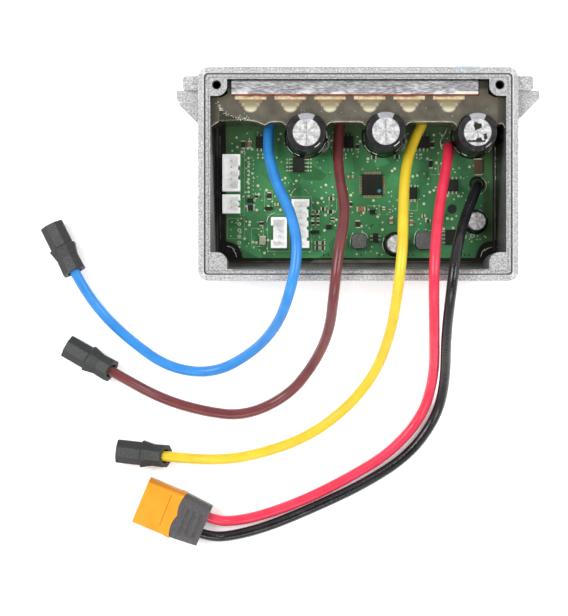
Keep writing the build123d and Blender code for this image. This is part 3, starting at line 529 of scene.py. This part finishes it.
chip_black = moulded("chip_black", (0.012, 0.014, 0.010), 0.4, 0.5, 1600, specular=0.22)
tinned = moulded("tinned", (0.56, 0.56, 0.42), 0.3, 0.35, 1500)
lead_cream = moulded("lead_cream", (0.46, 0.40, 0.22), 0.3, 0.35, 1500)
tab_metal = moulded("tab_metal", (0.86, 0.76, 0.58), 0.12, 0.4, 900)
screw_metal = moulded("screw_metal", (0.62, 0.56, 0.36), 0.3, 0.45, 700)
gold_plate = gold()
header_nylon = white_nylon()
pin_tin = moulded("pin_tin", (0.58, 0.58, 0.58), 0.2, 0.4, 1500)
bush_nylon = moulded("bush_nylon", (0.85, 0.78, 0.58), 0.08, 0.4, 700)
black_resin = wet_resin()
plug_grey = plug_moulding()
cap_grey = moulded("cap_grey", (0.076, 0.071, 0.075), 0.18, 0.5, 1200, 0.00005, specular=0.4)
tan_ceramic = chip_ceramic()
resistor_glaze = moulded("resistor_glaze", (0.022, 0.020, 0.020), 0.6, 0.3, 1500)
red_film = moulded("red_film", (0.22, 0.05, 0.03), 0.5, 0.35, 600)
clear_film = thin_film()
pad_grey = moulded("pad_grey", (0.36, 0.37, 0.41), 0.15, 0.75, 800)
shell_orange = connector_orange()

node_finishes = {
    "housing": cast_housing(),
    "thermal_pad": pad_grey,
    "release_film": clear_film,
    "circuit_board": green_mask(),
    "potting_base": black_resin,
    "heatsink_bar": sawn_bar(),
    "insulator_film": red_film,
    "transistor_tabs": tab_metal,
    "transistor_leads": tinned,
    "clamp_screws": screw_metal,
    "insulating_bushes": bush_nylon,
    "bulk_capacitor_leads": tinned,
    "small_capacitor_bases": chip_black,
    "power_inductor_1": ferrite("ferrite_1", BOARD_Z + 0.0032),
    "power_inductor_2": ferrite("ferrite_2", BOARD_Z + 0.0040),
    "header_pins": pin_tin,
    "microcontroller": chip_black,
    "microcontroller_leads": lead_cream,
    "small_outline_chips": chip_black,
    "chip_leads": tinned,
    "chip_capacitors": tan_ceramic,
    "chip_resistors": resistor_glaze,
    "chip_ends": tinned,
    "diodes": chip_black,
    "phase_plug_contacts": gold_plate,
    "power_connector_shell": shell_orange,
    "power_connector_cap": cap_grey,
    "power_connector_contacts": gold_plate,
}
for number in range(1, TRANSISTORS + 1):
    node_finishes[f"transistor_{number}"] = chip_black
for pins in (5, 2, 7, 4):
    node_finishes[f"header_{pins}pin"] = header_nylon
for number, place in enumerate(BULK_PLACES, start=1):
    node_finishes[f"gate_driver_{number}"] = chip_black
    node_finishes[f"bulk_capacitor_can_{number}"] = can_top(place, number == 3, 0.0060, 1.0)
    node_finishes[f"bulk_capacitor_sleeve_{number}"] = capacitor_sleeve(place)
# The small cans' tops are lifted brighter: painted light for the shade they get lower in the case
for number, place in enumerate(SMALL_CAN_PLACES, start=1):
    node_finishes[f"small_capacitor_{number}"] = can_top(place, False, 0.0027, 1.36)
for colour in ("blue", "brown", "yellow"):
    node_finishes[f"phase_plug_{colour}"] = plug_grey
for name, material in node_finishes.items():
    nodes[name].data.materials.clear()
    nodes[name].data.materials.append(material)


# ---- Mesh and curve pieces ----
def on_circle(x, y, radius, angle):
    """The point of a circle at an angle in radians."""
    return x + radius * math.cos(angle), y + radius * math.sin(angle)


def new_object(name, data):
    """Makes an object of a mesh, curve, light or camera, and puts it in the scene."""
    made = bpy.data.objects.new(name, data)
    bpy.context.scene.collection.objects.link(made)
    return made


def mesh_piece(name, vertices, faces, material):
    """A fixed piece made of the given faces."""
    mesh = bpy.data.meshes.new(name)
    mesh.from_pydata(vertices, [], faces)
    mesh.validate()
    mesh.materials.append(material)
    piece = new_object(name, mesh)
    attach(piece, "root")
    return piece


def tube(name, lines, radius, roundness, steps, material):
    """A round tube along each of the given lines."""
    curve = bpy.data.curves.new(name, "CURVE")
    curve.dimensions = "3D"
    curve.bevel_depth = radius
    curve.bevel_resolution = roundness
    curve.use_fill_caps = True
    for points in lines:
        spline = curve.splines.new("NURBS")
        spline.points.add(len(points) - 1)
        for spot, point in zip(spline.points, points):
            spot.co = (*point, 1)
        spline.order_u = 3
        spline.use_endpoint_u = True
        spline.resolution_u = steps
    curve.materials.append(material)
    return new_object(name, curve)


def line_piece(name, lines, radius, material):
    """Thin smooth beads along the given lines."""
    piece = tube(name, lines, radius, 3, 6, material)
    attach(piece, "root")


# ---- Cords ----
cord_routes = {
    "blue": [
        (-0.0288, 0.0183, 0.0130),
        (-0.0300, 0.0100, 0.0150),
        (-0.0270, -0.0020, 0.0220),
        (-0.0215, -0.0135, 0.0310),
        (-0.0195, -0.0250, 0.0360),
        (-0.0220, -0.0385, 0.0360),
        (-0.0265, -0.0500, 0.0240),
        (-0.0350, -0.0590, 0.0090),
        (-0.0480, -0.0660, 0.0018),
        (-0.0635, -0.0640, 0.0018),
        (-0.0765, -0.0545, 0.0018),
        (-0.0860, -0.0455, 0.0018),
        (-0.0928, -0.0353, 0.0056),
        (-0.0971, -0.0268, 0.00485),
    ],
    "brown": [
        (-0.0052, 0.0183, 0.0130),
        (-0.0064, 0.0105, 0.0150),
        (-0.0060, -0.0005, 0.0220),
        (-0.0040, -0.0120, 0.0300),
        (-0.0065, -0.0250, 0.0360),
        (-0.0080, -0.0385, 0.0360),
        (-0.0092, -0.0515, 0.0230),
        (-0.0140, -0.0625, 0.0090),
        (-0.0225, -0.0735, 0.0018),
        (-0.0375, -0.0805, 0.0018),
        (-0.0525, -0.0785, 0.0018),
        (-0.0660, -0.0743, 0.0018),
        (-0.0783, -0.0673, 0.0056),
        (-0.0865, -0.0626, 0.00485),
    ],
    "yellow": [
        (0.0223, 0.0183, 0.0130),
        (0.0180, 0.0105, 0.0150),
        (0.0155, -0.0005, 0.0220),
        (0.0145, -0.0130, 0.0310),
        (0.0140, -0.0250, 0.0360),
        (0.0125, -0.0385, 0.0360),
        (0.0110, -0.0515, 0.0240),
        (0.0065, -0.0660, 0.0090),
        (-0.0040, -0.0790, 0.0018),
        (-0.0180, -0.0885, 0.0018),
        (-0.0355, -0.0940, 0.0018),
        (-0.0470, -0.0952, 0.0018),
        (-0.0586, -0.0943, 0.0056),
        (-0.0680, -0.0933, 0.00485),
    ],
    "red": [
        (0.0310, 0.0104, 0.0086),
        (0.0310, 0.0104, 0.0140),
        (0.0298, 0.0040, 0.0175),
        (0.0270, -0.0085, 0.0255),
        (0.0245, -0.0235, 0.0350),
        (0.0240, -0.0380, 0.0365),
        (0.0251, -0.0525, 0.0250),
        (0.0263, -0.0665, 0.0090),
        (0.0230, -0.0804, 0.0018),
        (0.0118, -0.0930, 0.0018),
        (-0.0034, -0.1020, 0.0018),
        (-0.0176, -0.1090, 0.0018),
        (-0.0316, -0.1141, 0.0018),
        (-0.0410, -0.1159, 0.0024),
        (-0.0470, -0.1156, 0.00405),
        (-0.05205, -0.1135, 0.00405),
    ],
    "black": [
        (0.0406, -0.0021, 0.0086),
        (0.0406, -0.0021, 0.0140),
        (0.0384, -0.0072, 0.0180),
        (0.0350, -0.0145, 0.0230),
        (0.0315, -0.0250, 0.0340),
        (0.0296, -0.0380, 0.0365),
        (0.0289, -0.0525, 0.0250),
        (0.0300, -0.0680, 0.0090),
        (0.0277, -0.0806, 0.0018),
        (0.0185, -0.0934, 0.0018),
        (0.0034, -0.1032, 0.0018),
        (-0.0139, -0.1113, 0.0018),
        (-0.0295, -0.1178, 0.0018),
        (-0.0415, -0.1209, 0.0022),
        (-0.0493, -0.1211, 0.00405),
        (-0.0544, -0.1190, 0.00405),
    ],
}
cord_finishes = {
    "blue": silicone("blue_silicone", (0.022, 0.205, 0.58), (0.038, 0.27, 0.70)),
    "brown": silicone("brown_silicone", (0.130, 0.028, 0.030), (0.185, 0.042, 0.044), 0.28),
    "yellow": silicone("yellow_silicone", (0.70, 0.49, 0.018), (0.80, 0.59, 0.034)),
    "red": silicone("red_silicone", (0.66, 0.022, 0.060), (0.78, 0.038, 0.090)),
    "black": silicone("black_silicone", (0.006, 0.006, 0.007), (0.016, 0.016, 0.018), 0.10, 0.0007),
}


def run_cord(colour):
    """One cord along its route, in place of the part's own cord, which is hidden."""
    points = cord_routes[colour]
    cord = tube(f"cord_{colour}_run", [points], CORD_RADIUS, 8, 16, cord_finishes[colour])
    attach(cord, "root")
    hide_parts(f"cord_{colour}")
    phase = colour in ("blue", "brown", "yellow")
    if phase:
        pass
    elif colour == "red":
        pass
    else:
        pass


for colour in cord_routes:
    run_cord(colour)


# ---- Translucent potting over the transistors ----
def slab_runs():
    """The runs of its front edge: from the left wall, between the capacitors, to the right wall."""
    first = [(-0.0479, 0.0155), (-0.0470, 0.0163), (-0.0455, 0.0171), (-0.0430, 0.0172), (-0.0400, 0.0173)]
    first += [(-0.0370, 0.0176), (-0.0345, 0.0175), (-0.0325, 0.0170), (-0.0312, 0.0164), (-0.0303, 0.0160)]
    runs = [first + [(-0.0296, 0.0165), (-0.0289, 0.0170), (-0.0275, 0.0171)]]
    steps_in = ((0.0019, 0.0), (0.0009, 0.0003), (0.0002, 0.0011))
    steps_out = steps_in[::-1]
    for x, _ in BULK_PLACES:
        runs[-1] += [(x - SLAB_HOLE_RADIUS - aside, SLAB_FRONT - drop) for aside, drop in steps_in]
        runs.append([(x + SLAB_HOLE_RADIUS + aside, SLAB_FRONT - drop) for aside, drop in steps_out])
    runs[-1] = [(0.0459, 0.0164), (0.0468, 0.0166), (0.0476, 0.0162), (0.0479, 0.0152)]
    return runs


def wrap_round(x, y):
    """Its edge round a capacitor's back, from the left to the right."""
    steps = 12
    contact = math.radians(14)
    points = []
    for step in range(steps + 1):
        angle = math.pi - contact - (math.pi - 2 * contact) * step / steps
        points.append(on_circle(x, y, SLAB_HOLE_RADIUS, angle))
    return points


front_runs = slab_runs()
slab_outline = list(front_runs[0])
for place, run in zip(BULK_PLACES, front_runs[1:]):
    slab_outline += wrap_round(*place) + run
slab_outline += [(0.0479, 0.0249), (0.0445, 0.0250), (0.0425, 0.0262), (0.0424, SLAB_BACK)]
slab_outline += [(0.0394, SLAB_BACK), (0.0394, BAR_FRONT), (-0.0411, BAR_FRONT), (-0.0411, SLAB_BACK)]
slab_outline += [(-0.0424, SLAB_BACK), (-0.0425, 0.0262), (-0.0445, 0.0250), (-0.0479, 0.0249)]
# Each level's height, and how far its front edge is drawn in
slab_levels = [
    (BOARD_Z + 0.00002, 0.0),
    (SLAB_TOP - 0.0006, 0.0),
    (SLAB_TOP - 0.00015, 0.0001),
    (SLAB_TOP, 0.0005),
]
slab_vertices = []
for level, draw_in in slab_levels:
    for x, y in slab_outline:
        slab_vertices.append((x, y + (draw_in if y < 0.019 else 0), level))
count = len(slab_outline)
top = len(slab_vertices) - count
slab_faces = [tuple(range(count - 1, -1, -1)), tuple(range(top, top + count))]
for low in range(0, top, count):
    high = low + count
    for index in range(count):
        after = (index + 1) % count
        slab_faces.append((low + index, low + after, high + after, high + index))
slab = mesh_piece("translucent_slab", slab_vertices, slab_faces, translucent_potting())
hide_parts("potting_slab")

# ---- Copper, pads and holes on the board ----
random.seed(7)
# Left, right, front and back of what stands on the board
keep_out = [
    (-0.0446, -0.0386, -0.0125, 0.0080),
    (-0.0217, -0.0156, -0.0240, -0.0070),
    (-0.0288, -0.0229, -0.0240, -0.0130),
    (0.0010, 0.0101, -0.0069, 0.0022),
    (-0.0231, -0.0105, 0.0070, 0.0170),
    (0.0027, 0.0154, 0.0070, 0.0170),
    (0.0325, 0.0453, 0.0070, 0.0170),
    (-0.0338, -0.0284, 0.0090, 0.0146),
    (-0.0060, -0.0006, 0.0090, 0.0146),
    (0.0194, 0.0248, 0.0090, 0.0146),
    (0.0365, 0.0437, -0.0184, -0.0112),
    (0.0098, 0.0166, -0.0258, -0.0190),
    (-0.0018, 0.0038, -0.0242, -0.0186),
    (0.0197, 0.0261, -0.0244, -0.0180),
    (0.0290, 0.0345, -0.0052, 0.0000),
    (-0.0215, -0.0168, 0.0016, 0.0070),
]


def free_spot(x, y, margin=0.0006):
    """Whether nothing large stands on the board there."""
    for left, right, front, back in keep_out:
        if left - margin < x < right + margin and front - margin < y < back + margin:
            return False
    from_corner = math.hypot(abs(x) - 0.0448, y + 0.0269)
    return from_corner > 0.0068 and -0.0262 < y < 0.0160 and -0.0430 < x < 0.0452


def disc(x, y, z, radius, sides, vertices, faces, inner=0.0):
    """Adds a flat disc, or a ring, to a growing mesh."""
    start = len(vertices)
    for reach in (radius, inner) if inner else (radius,):
        for step in range(sides):
            vertices.append((*on_circle(x, y, reach, 2 * math.pi * step / sides), z))
    if not inner:
        faces.append(tuple(range(start, start + sides)))
        return
    for step in range(sides):
        after = (step + 1) % sides
        faces.append((start + step, start + after, start + sides + after, start + sides + step))


pad_tin = speckled("pad_tin", (0.46, 0.52, 0.34), (0.70, 0.76, 0.54), 1500, 0.35)
VIA_COUNT = 330
VIA_RADII = (0.0002, 0.00024, 0.0003, 0.00046)
vertices, faces = [], []
via_places = []
while len(via_places) < VIA_COUNT:
    x = random.uniform(-0.042, 0.0445)
    y = random.uniform(-0.0258, 0.0155)
    if free_spot(x, y) and all(math.hypot(x - a, y - b) > 0.0010 for a, b in via_places):
        via_places.append((x, y))
for x, y in via_places:
    disc(x, y, PAD_Z, random.choice(VIA_RADII), 12, vertices, faces)

# A column of pads beside the left headers, one of rings in front of it, and three rings at the right
PAD_PITCH = 0.00142
for index in range(10):
    disc(-0.0360, 0.0066 - index * PAD_PITCH, PAD_Z, 0.00042, 12, vertices, faces)
for index in range(4):
    disc(-0.0391, -0.0155 - index * 0.0021, PAD_Z, 0.00062, 16, vertices, faces, 0.0003)
RING_PADS = [
    (0.0391, -0.0195, 0.0008, 0.0004),
    (0.0365, -0.0197, 0.0007, 0.0004),
    (0.0436, -0.0200, 0.00035, 0),
]
for x, y, outer, inner in RING_PADS:
    disc(x, y, PAD_Z, outer, 18, vertices, faces, inner)

# Pads beside the left chip, four in front of each gate driver, and a column of small pads at the left
for row in range(4):
    for column in range(2):
        for side in (-1, 1):
            x = -0.0191 + side * (0.0031 + column * 0.0009)
            disc(x, 0.0062 - row * 0.00127, PAD_Z, 0.0003, 8, vertices, faces)
for x in (-0.0320, -0.0042, 0.0212):
    for column in range(2):
        for side in (-1, 1):
            disc(x + side * 0.0008, 0.0078 - column * 0.0011, PAD_Z, 0.0003, 8, vertices, faces)
for index in range(9):
    disc(-0.0344, 0.0059 - index * PAD_PITCH, PAD_Z, 0.0002, 8, vertices, faces)
mesh_piece("board_pads", vertices, faces, pad_tin)

drill_dark = moulded("drill_dark", (0.006, 0.010, 0.006), 0.4, 0.5)
vertices, faces = [], []
for x in (-0.0108, -0.0092, 0.0018, 0.0078, 0.0176, 0.0192, 0.0352, 0.0366, 0.0380):
    disc(x, -0.0259, PAD_Z, 0.0003, 12, vertices, faces)
disc(0.0323, -0.0105, PRINT_Z, 0.0016, 24, vertices, faces)
mesh_piece("board_drills", vertices, faces, drill_dark)

trace_green = Finish("trace_green", Roughness=0.3, Coat_Weight=0.6, Coat_Roughness=0.06)
drift = trace_green.noise(260)
trace_green.colour(trace_green.ramp(drift, (0.3, (0.035, 0.19, 0.062)), (0.7, (0.062, 0.255, 0.088))))
TRACE_COUNT = 150
vertices, faces = [], []
for index in range(TRACE_COUNT):
    x, y = random.choice(via_places)
    heading = random.randrange(8) * math.pi / 4
    half = random.choice((0.00008, 0.00011, 0.00016))
    for leg in range(3):
        reach = random.uniform(0.0012, 0.0048)
        far_x = x + reach * math.cos(heading)
        far_y = y + reach * math.sin(heading)
        if not free_spot(far_x, far_y, 0.0):
            break
        side_x, side_y = -half * math.sin(heading), half * math.cos(heading)
        start = len(vertices)
        vertices += [(x + side_x, y + side_y, TRACE_Z), (x - side_x, y - side_y, TRACE_Z)]
        vertices += [(far_x - side_x, far_y - side_y, TRACE_Z), (far_x + side_x, far_y + side_y, TRACE_Z)]
        faces.append((start, start + 1, start + 2, start + 3))
        x, y = far_x, far_y
        heading += random.choice((-1, 1)) * math.pi / 4
mesh_piece("board_traces", vertices, faces, trace_green.material)

# ---- White outlines printed round parts, without any lettering ----
legend = speckled("legend_white", (0.20, 0.34, 0.18), (0.36, 0.48, 0.30), 1200, 0.5)
LEGEND_BOXES = [
    (-0.0388, -0.0374, -0.0128, 0.0082),
    (-0.0430, -0.0374, -0.0204, -0.0136),
    (-0.0224, -0.0148, -0.0247, -0.0064),
    (-0.0296, -0.0222, -0.0247, -0.0122),
    (-0.0306, -0.0280, -0.0098, -0.0044),
    (0.0252, 0.0276, 0.0010, 0.0046),
    (-0.0350, -0.0310, -0.0230, -0.0170),
    (-0.0090, -0.0064, -0.0110, -0.0070),
    (0.0040, 0.0078, -0.0118, -0.0094),
    (0.0180, 0.0206, -0.0110, -0.0066),
]
line = 0.00007
vertices, faces = [], []
for left, right, front, back in LEGEND_BOXES:
    for x0, x1, y0, y1 in (
        (left, right, front - line, front + line),
        (left, right, back - line, back + line),
        (left - line, left + line, front, back),
        (right - line, right + line, front, back),
    ):
        start = len(vertices)
        vertices += [(x0, y0, PRINT_Z), (x1, y0, PRINT_Z), (x1, y1, PRINT_Z), (x0, y1, PRINT_Z)]
        faces.append((start, start + 1, start + 2, start + 3))
mesh_piece("board_outlines", vertices, faces, legend)

teal = speckled("index_dot_teal", (0.02, 0.22, 0.30), (0.04, 0.32, 0.40), 900, 0.4)
vertices, faces = [], []
disc(0.0078, -0.0045, BOARD_Z + 0.00147, 0.0006, 20, vertices, faces)
mesh_piece("controller_index_dot", vertices, faces, teal)


# ---- Wet edges of the resin: thin bright beads where it climbs what stands in it, as painted highlights ----
def arc_points(x, y, radius, start, end, z):
    """Points along part of a circle, its angles in degrees."""
    steps = max(3, round(abs(end - start) / 15))
    points = []
    for step in range(steps + 1):
        angle = math.radians(start + (end - start) * step / steps)
        points.append((*on_circle(x, y, radius, angle), z))
    return points


# Painted highlight: a cream bead along the slab's front edge
bead_lines = []
for run in (front_runs[0][:3], front_runs[0][5:], *front_runs[1:]):
    bead_lines.append([(x, y - 0.00005, SLAB_TOP - 0.0001) for x, y in run])
cream_edge_highlight = speckled("resin_edge_highlight", (0.30, 0.26, 0.17), (0.66, 0.60, 0.44), 420, 0.25)
line_piece("resin_edge_highlight", bead_lines, 0.00013, cream_edge_highlight)

# Painted highlights: bright beads round the board's corners, the cans, chips, headers and cords
glint_bead = Finish("resin_glint_bead", Roughness=0.08, Alpha=0.8, Coat_Weight=1.0)
glint_bead.colour(glint_bead.ramp(glint_bead.noise(700), (0.35, (0.35, 0.35, 0.33)), (0.6, (0.92, 0.92, 0.90))))
BOARD_EDGE_Z = BOARD_Z + 0.0002
COVERED_Z = 0.0100
# Arcs are (radius, first angle, last angle, height), in metres and degrees
CORNER_ARCS = ((0.0036, 4, 50, BOARD_EDGE_Z), (0.0040, 40, 86, BOARD_EDGE_Z))
SLEEVE_ARCS = (
    (0.0068, -52, -18, 0.0125),
    (0.0070, -6, 14, 0.0140),
    (0.0056, -62, -38, SLEEVE_TOP + 0.0001),
    (0.0070, 206, 232, 0.0112),
    (0.0073, -44, -22, 0.0104),
    (0.0067, 236, 252, 0.0125),
)
FOOT_ARCS = ((0.0079, -40, 6, BOARD_EDGE_Z), (0.0082, -30, -8, BOARD_EDGE_Z))
SMALL_CAN_ARCS = ((0.0042, 20, 75, 0.0095), (0.0043, 150, 215, 0.0095))
# These give their middle first, and share one height
SINGLE_ARCS = (
    (0.0409, -0.0027, 0.0029, -110, 60),
    (-0.0187, -0.0063, 0.0030, 118, 160),
    (-0.0187, -0.0065, 0.0030, 20, 60),
    (-0.0266, -0.0150, 0.0033, 100, 178),
    (-0.0395, 0.0080, 0.0024, -10, 55),
)
BOARD_CORNERS = ((-0.0436, -0.0269, 0), (0.0459, -0.0269, 90))
bead_lines = []
for x, y, turn in BOARD_CORNERS:
    for radius, start, end, z in CORNER_ARCS:
        bead_lines.append(arc_points(x, y, radius, turn + start, turn + end, z))
arc_groups = [(BULK_PLACES, SLEEVE_ARCS), (BULK_PLACES[:2], FOOT_ARCS), (SMALL_CAN_PLACES, SMALL_CAN_ARCS)]
for places, arcs in arc_groups:
    for x, y in places:
        for arc in arcs:
            bead_lines.append(arc_points(x, y, *arc))
for x, y, half in ((0.0010, -0.0214, 0.0029), (0.0229, -0.0212, 0.0034)):
    left, right, back = x - half, x + half, y + half
    left_corner = [(left, y - 0.001), (left, back - 0.001), (left + 0.001, back)]
    right_corner = [(right - 0.002, back), (right, back), (right, back - 0.002)]
    bead_lines += [[(*point, COVERED_Z) for point in corner] for corner in (left_corner, right_corner)]
red_rim = [(0.0304, 0.0164), (0.0300, 0.0150), (0.0293, 0.0139)]
red_rim += [(0.0284, 0.0126), (0.0281, 0.0112), (0.0288, 0.0093)]
bead_lines.append([(*point, COVERED_Z) for point in red_rim])
for x, y, radius, start, end in SINGLE_ARCS:
    bead_lines.append(arc_points(x, y, radius, start, end, 0.0092))
line_piece("resin_glints", bead_lines, 0.00013, glint_bead.material)

# Dim painted highlights along the resin's edges at the walls, the board's front and its corners
dim_ridge_highlight = speckled("resin_ridge_highlight", (0.02, 0.02, 0.018), (0.13, 0.13, 0.11), 300, 0.3, specular=0.3)
RIDGES = (
    (0.0089, [(-0.0456, 0.0140), (-0.0455, 0.0020), (-0.0457, -0.0100), (-0.0455, -0.0205)]),
    (0.0088, [(-0.0380, -0.0283), (-0.0200, -0.0281), (-0.0150, -0.0282)]),
    (0.0088, [(0.0140, -0.0282), (0.0270, -0.0281), (0.0390, -0.0283)]),
    (0.0120, [(0.0463, 0.0130), (0.0464, 0.0000), (0.0463, -0.0110), (0.0464, -0.0210)]),
)
bead_lines = [[(*point, z) for point in line_points] for z, line_points in RIDGES]
for x, y, turn in BOARD_CORNERS:
    bead_lines.append(arc_points(x, y, 0.0056, turn + 2, turn + 88, BOARD_EDGE_Z))
line_piece("resin_ridges", bead_lines, 0.00014, dim_ridge_highlight)
ridge = speckled("board_edge_ridge", (0.055, 0.058, 0.046), (0.115, 0.118, 0.100), 260, 0.3)
shelf_x = (-0.0155, -0.0140, 0.0010, 0.0128, 0.0137)
shelf_y = (-0.0286, -0.0276, -0.0275, -0.0276, -0.0286)
shelf_points = [(x, y, 0.0088) for x, y in zip(shelf_x, shelf_y)]
mesh_piece("resin_shelf", shelf_points, [tuple(range(len(shelf_points)))], ridge)


# ---- Black resin drawn up round the tall parts, and bubbles left in the resins ----
def collar(x, y, inner, outer, low, high, vertices, faces):
    """A concave fillet round a part, drawn up from the board."""
    sides, levels = 40, 4
    start = len(vertices)
    for level in range(levels + 1):
        share = level / levels
        radius = inner + (outer - inner) * share
        z = low + (high - low) * (1 - share) ** 2
        for step in range(sides):
            vertices.append((*on_circle(x, y, radius, 2 * math.pi * step / sides), z))
    for level in range(levels):
        for step in range(sides):
            after = (step + 1) % sides
            ring = start + level * sides
            faces.append((ring + step, ring + sides + step, ring + sides + after, ring + after))


vertices, faces = [], []
for x, y in BULK_PLACES:
    collar(x, y, SLEEVE_RADIUS - 0.0001, 0.0072, BOARD_Z + 0.0003, 0.0125, vertices, faces)
small_collars = [(place, 0.0033) for place in SMALL_CAN_PLACES]
small_collars.append((cord_routes["black"][0][:2], 0.0017))
for (x, y), radius in small_collars:
    collar(x, y, radius, radius + 0.0009, BOARD_Z + 0.0001, 0.0102, vertices, faces)
collar_resin = speckled(
    "collar_resin", (0.006, 0.007, 0.005), (0.030, 0.034, 0.024), 320, 0.12, 0.0003, specular=0.25
)
collars = mesh_piece("resin_collars", vertices, faces, collar_resin)
for polygon in collars.data.polygons:
    polygon.use_smooth = True

# Bubbles: along a line at the left, scattered over the grey resin, and in a row at the right wall
PATH_BUBBLES, SCATTERED_BUBBLES, WALL_BUBBLES = 75, 22, 34
BUBBLE_Z = SLAB_TOP + 0.00002
bubble_path = [(-0.0455, 0.0235), (-0.0450, 0.0215), (-0.0433, 0.0197)]
bubble_path += [(-0.0400, 0.0185), (-0.0383, 0.0180), (-0.0353, 0.0177)]
vertices, faces = [], []
for index in range(PATH_BUBBLES):
    leg = random.randrange(len(bubble_path) - 1)
    share = random.random()
    x = bubble_path[leg][0] * (1 - share) + bubble_path[leg + 1][0] * share + random.gauss(0, 0.0003)
    y = bubble_path[leg][1] * (1 - share) + bubble_path[leg + 1][1] * share + random.gauss(0, 0.0003)
    disc(x, min(y, 0.0248), BUBBLE_Z, random.uniform(0.00005, 0.00017), 7, vertices, faces)
for index in range(SCATTERED_BUBBLES):
    x = random.uniform(-0.044, 0.044)
    y = random.uniform(0.0185, 0.0215)
    disc(x, y, BUBBLE_Z, random.uniform(0.00005, 0.00014), 7, vertices, faces)
for index in range(WALL_BUBBLES):
    x = 0.0464 + random.gauss(0, 0.0001)
    disc(x, 0.0100 - index * 0.00033, 0.0126, random.uniform(0.00004, 0.00015), 7, vertices, faces)
bubble = speckled("bubble_white", (0.50, 0.49, 0.42), (0.90, 0.90, 0.84), 900, 0.2)
mesh_piece("resin_bubbles", vertices, faces, bubble)

# ---- Floor, light and camera ----
FLOOR_HALF = 3.0
floor_corners = [(x * FLOOR_HALF, y * FLOOR_HALF, 0) for x, y in ((-1, -1), (1, -1), (1, 1), (-1, 1))]
floor_mesh = bpy.data.meshes.new("floor")
floor_mesh.from_pydata(floor_corners, [], [(0, 1, 2, 3)])
floor = new_object("floor", floor_mesh)
paper = Finish("floor_paper", Roughness=0.9, Emission_Strength=0.27)
paper.colour(paper.ramp(paper.noise(6), (0.3, (0.93, 0.93, 0.93)), (0.7, (0.96, 0.96, 0.96))))
paper.feed(paper.shader, "Emission Color", (1.0, 1.0, 1.0))
floor_mesh.materials.append(paper.material)
floor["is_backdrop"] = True

world = bpy.data.worlds.new("studio")
bpy.context.scene.world = world
world.use_nodes = True
sky = world.node_tree.nodes
direction = sky.new("ShaderNodeTexCoord").outputs["Generated"]
upward = sky.new("ShaderNodeSeparateXYZ")
ceiling = sky.new("ShaderNodeValToRGB")
ceiling.color_ramp.elements[0].position = 0.12
ceiling.color_ramp.elements[0].color = (1, 1, 1, 1)
ceiling.color_ramp.elements[1].position = 0.94
ceiling.color_ramp.elements[1].color = (0.10, 0.10, 0.10, 1)
for position in (0.25, 0.80):
    ceiling.color_ramp.elements.new(position).color = (0.80, 0.80, 0.80, 1)
world.node_tree.links.new(direction, upward.inputs[0])
world.node_tree.links.new(upward.outputs["Z"], ceiling.inputs[0])
world.node_tree.links.new(ceiling.outputs[0], sky["Background"].inputs["Color"])
sky["Background"].inputs["Strength"].default_value = 1.0


def softbox(name, place, target, size, power):
    light = bpy.data.lights.new(name, "AREA")
    light.shape = "RECTANGLE"
    light.size, light.size_y = size
    light.energy = power
    box = new_object(name, light)
    box.location = place
    direction = [end - start for start, end in zip(place, target)]
    box.rotation_euler = Vector(direction).to_track_quat("-Z", "Y").to_euler()
    box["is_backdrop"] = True


softbox("softbox_left", (-0.60, 0.20, 0.85), (0, -0.03, 0), (0.5, 0.5), 6.5)
softbox("softbox_right", (0.60, 0.10, 0.85), (0, -0.03, 0), (0.4, 0.5), 4.0)
softbox("softbox_front", (0.0, -0.75, 0.80), (0, -0.03, 0), (0.6, 0.3), 2.5)

camera_data = bpy.data.cameras.new("camera")
camera_data.sensor_width = 36
camera_data.lens = 111.7
camera_data.clip_end = 20
camera = new_object("camera", camera_data)
camera.location = (-0.0241, -0.0437, 0.650)
bpy.context.scene.camera = camera
bpy.context.scene.view_settings.view_transform = "Standard"

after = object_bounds()
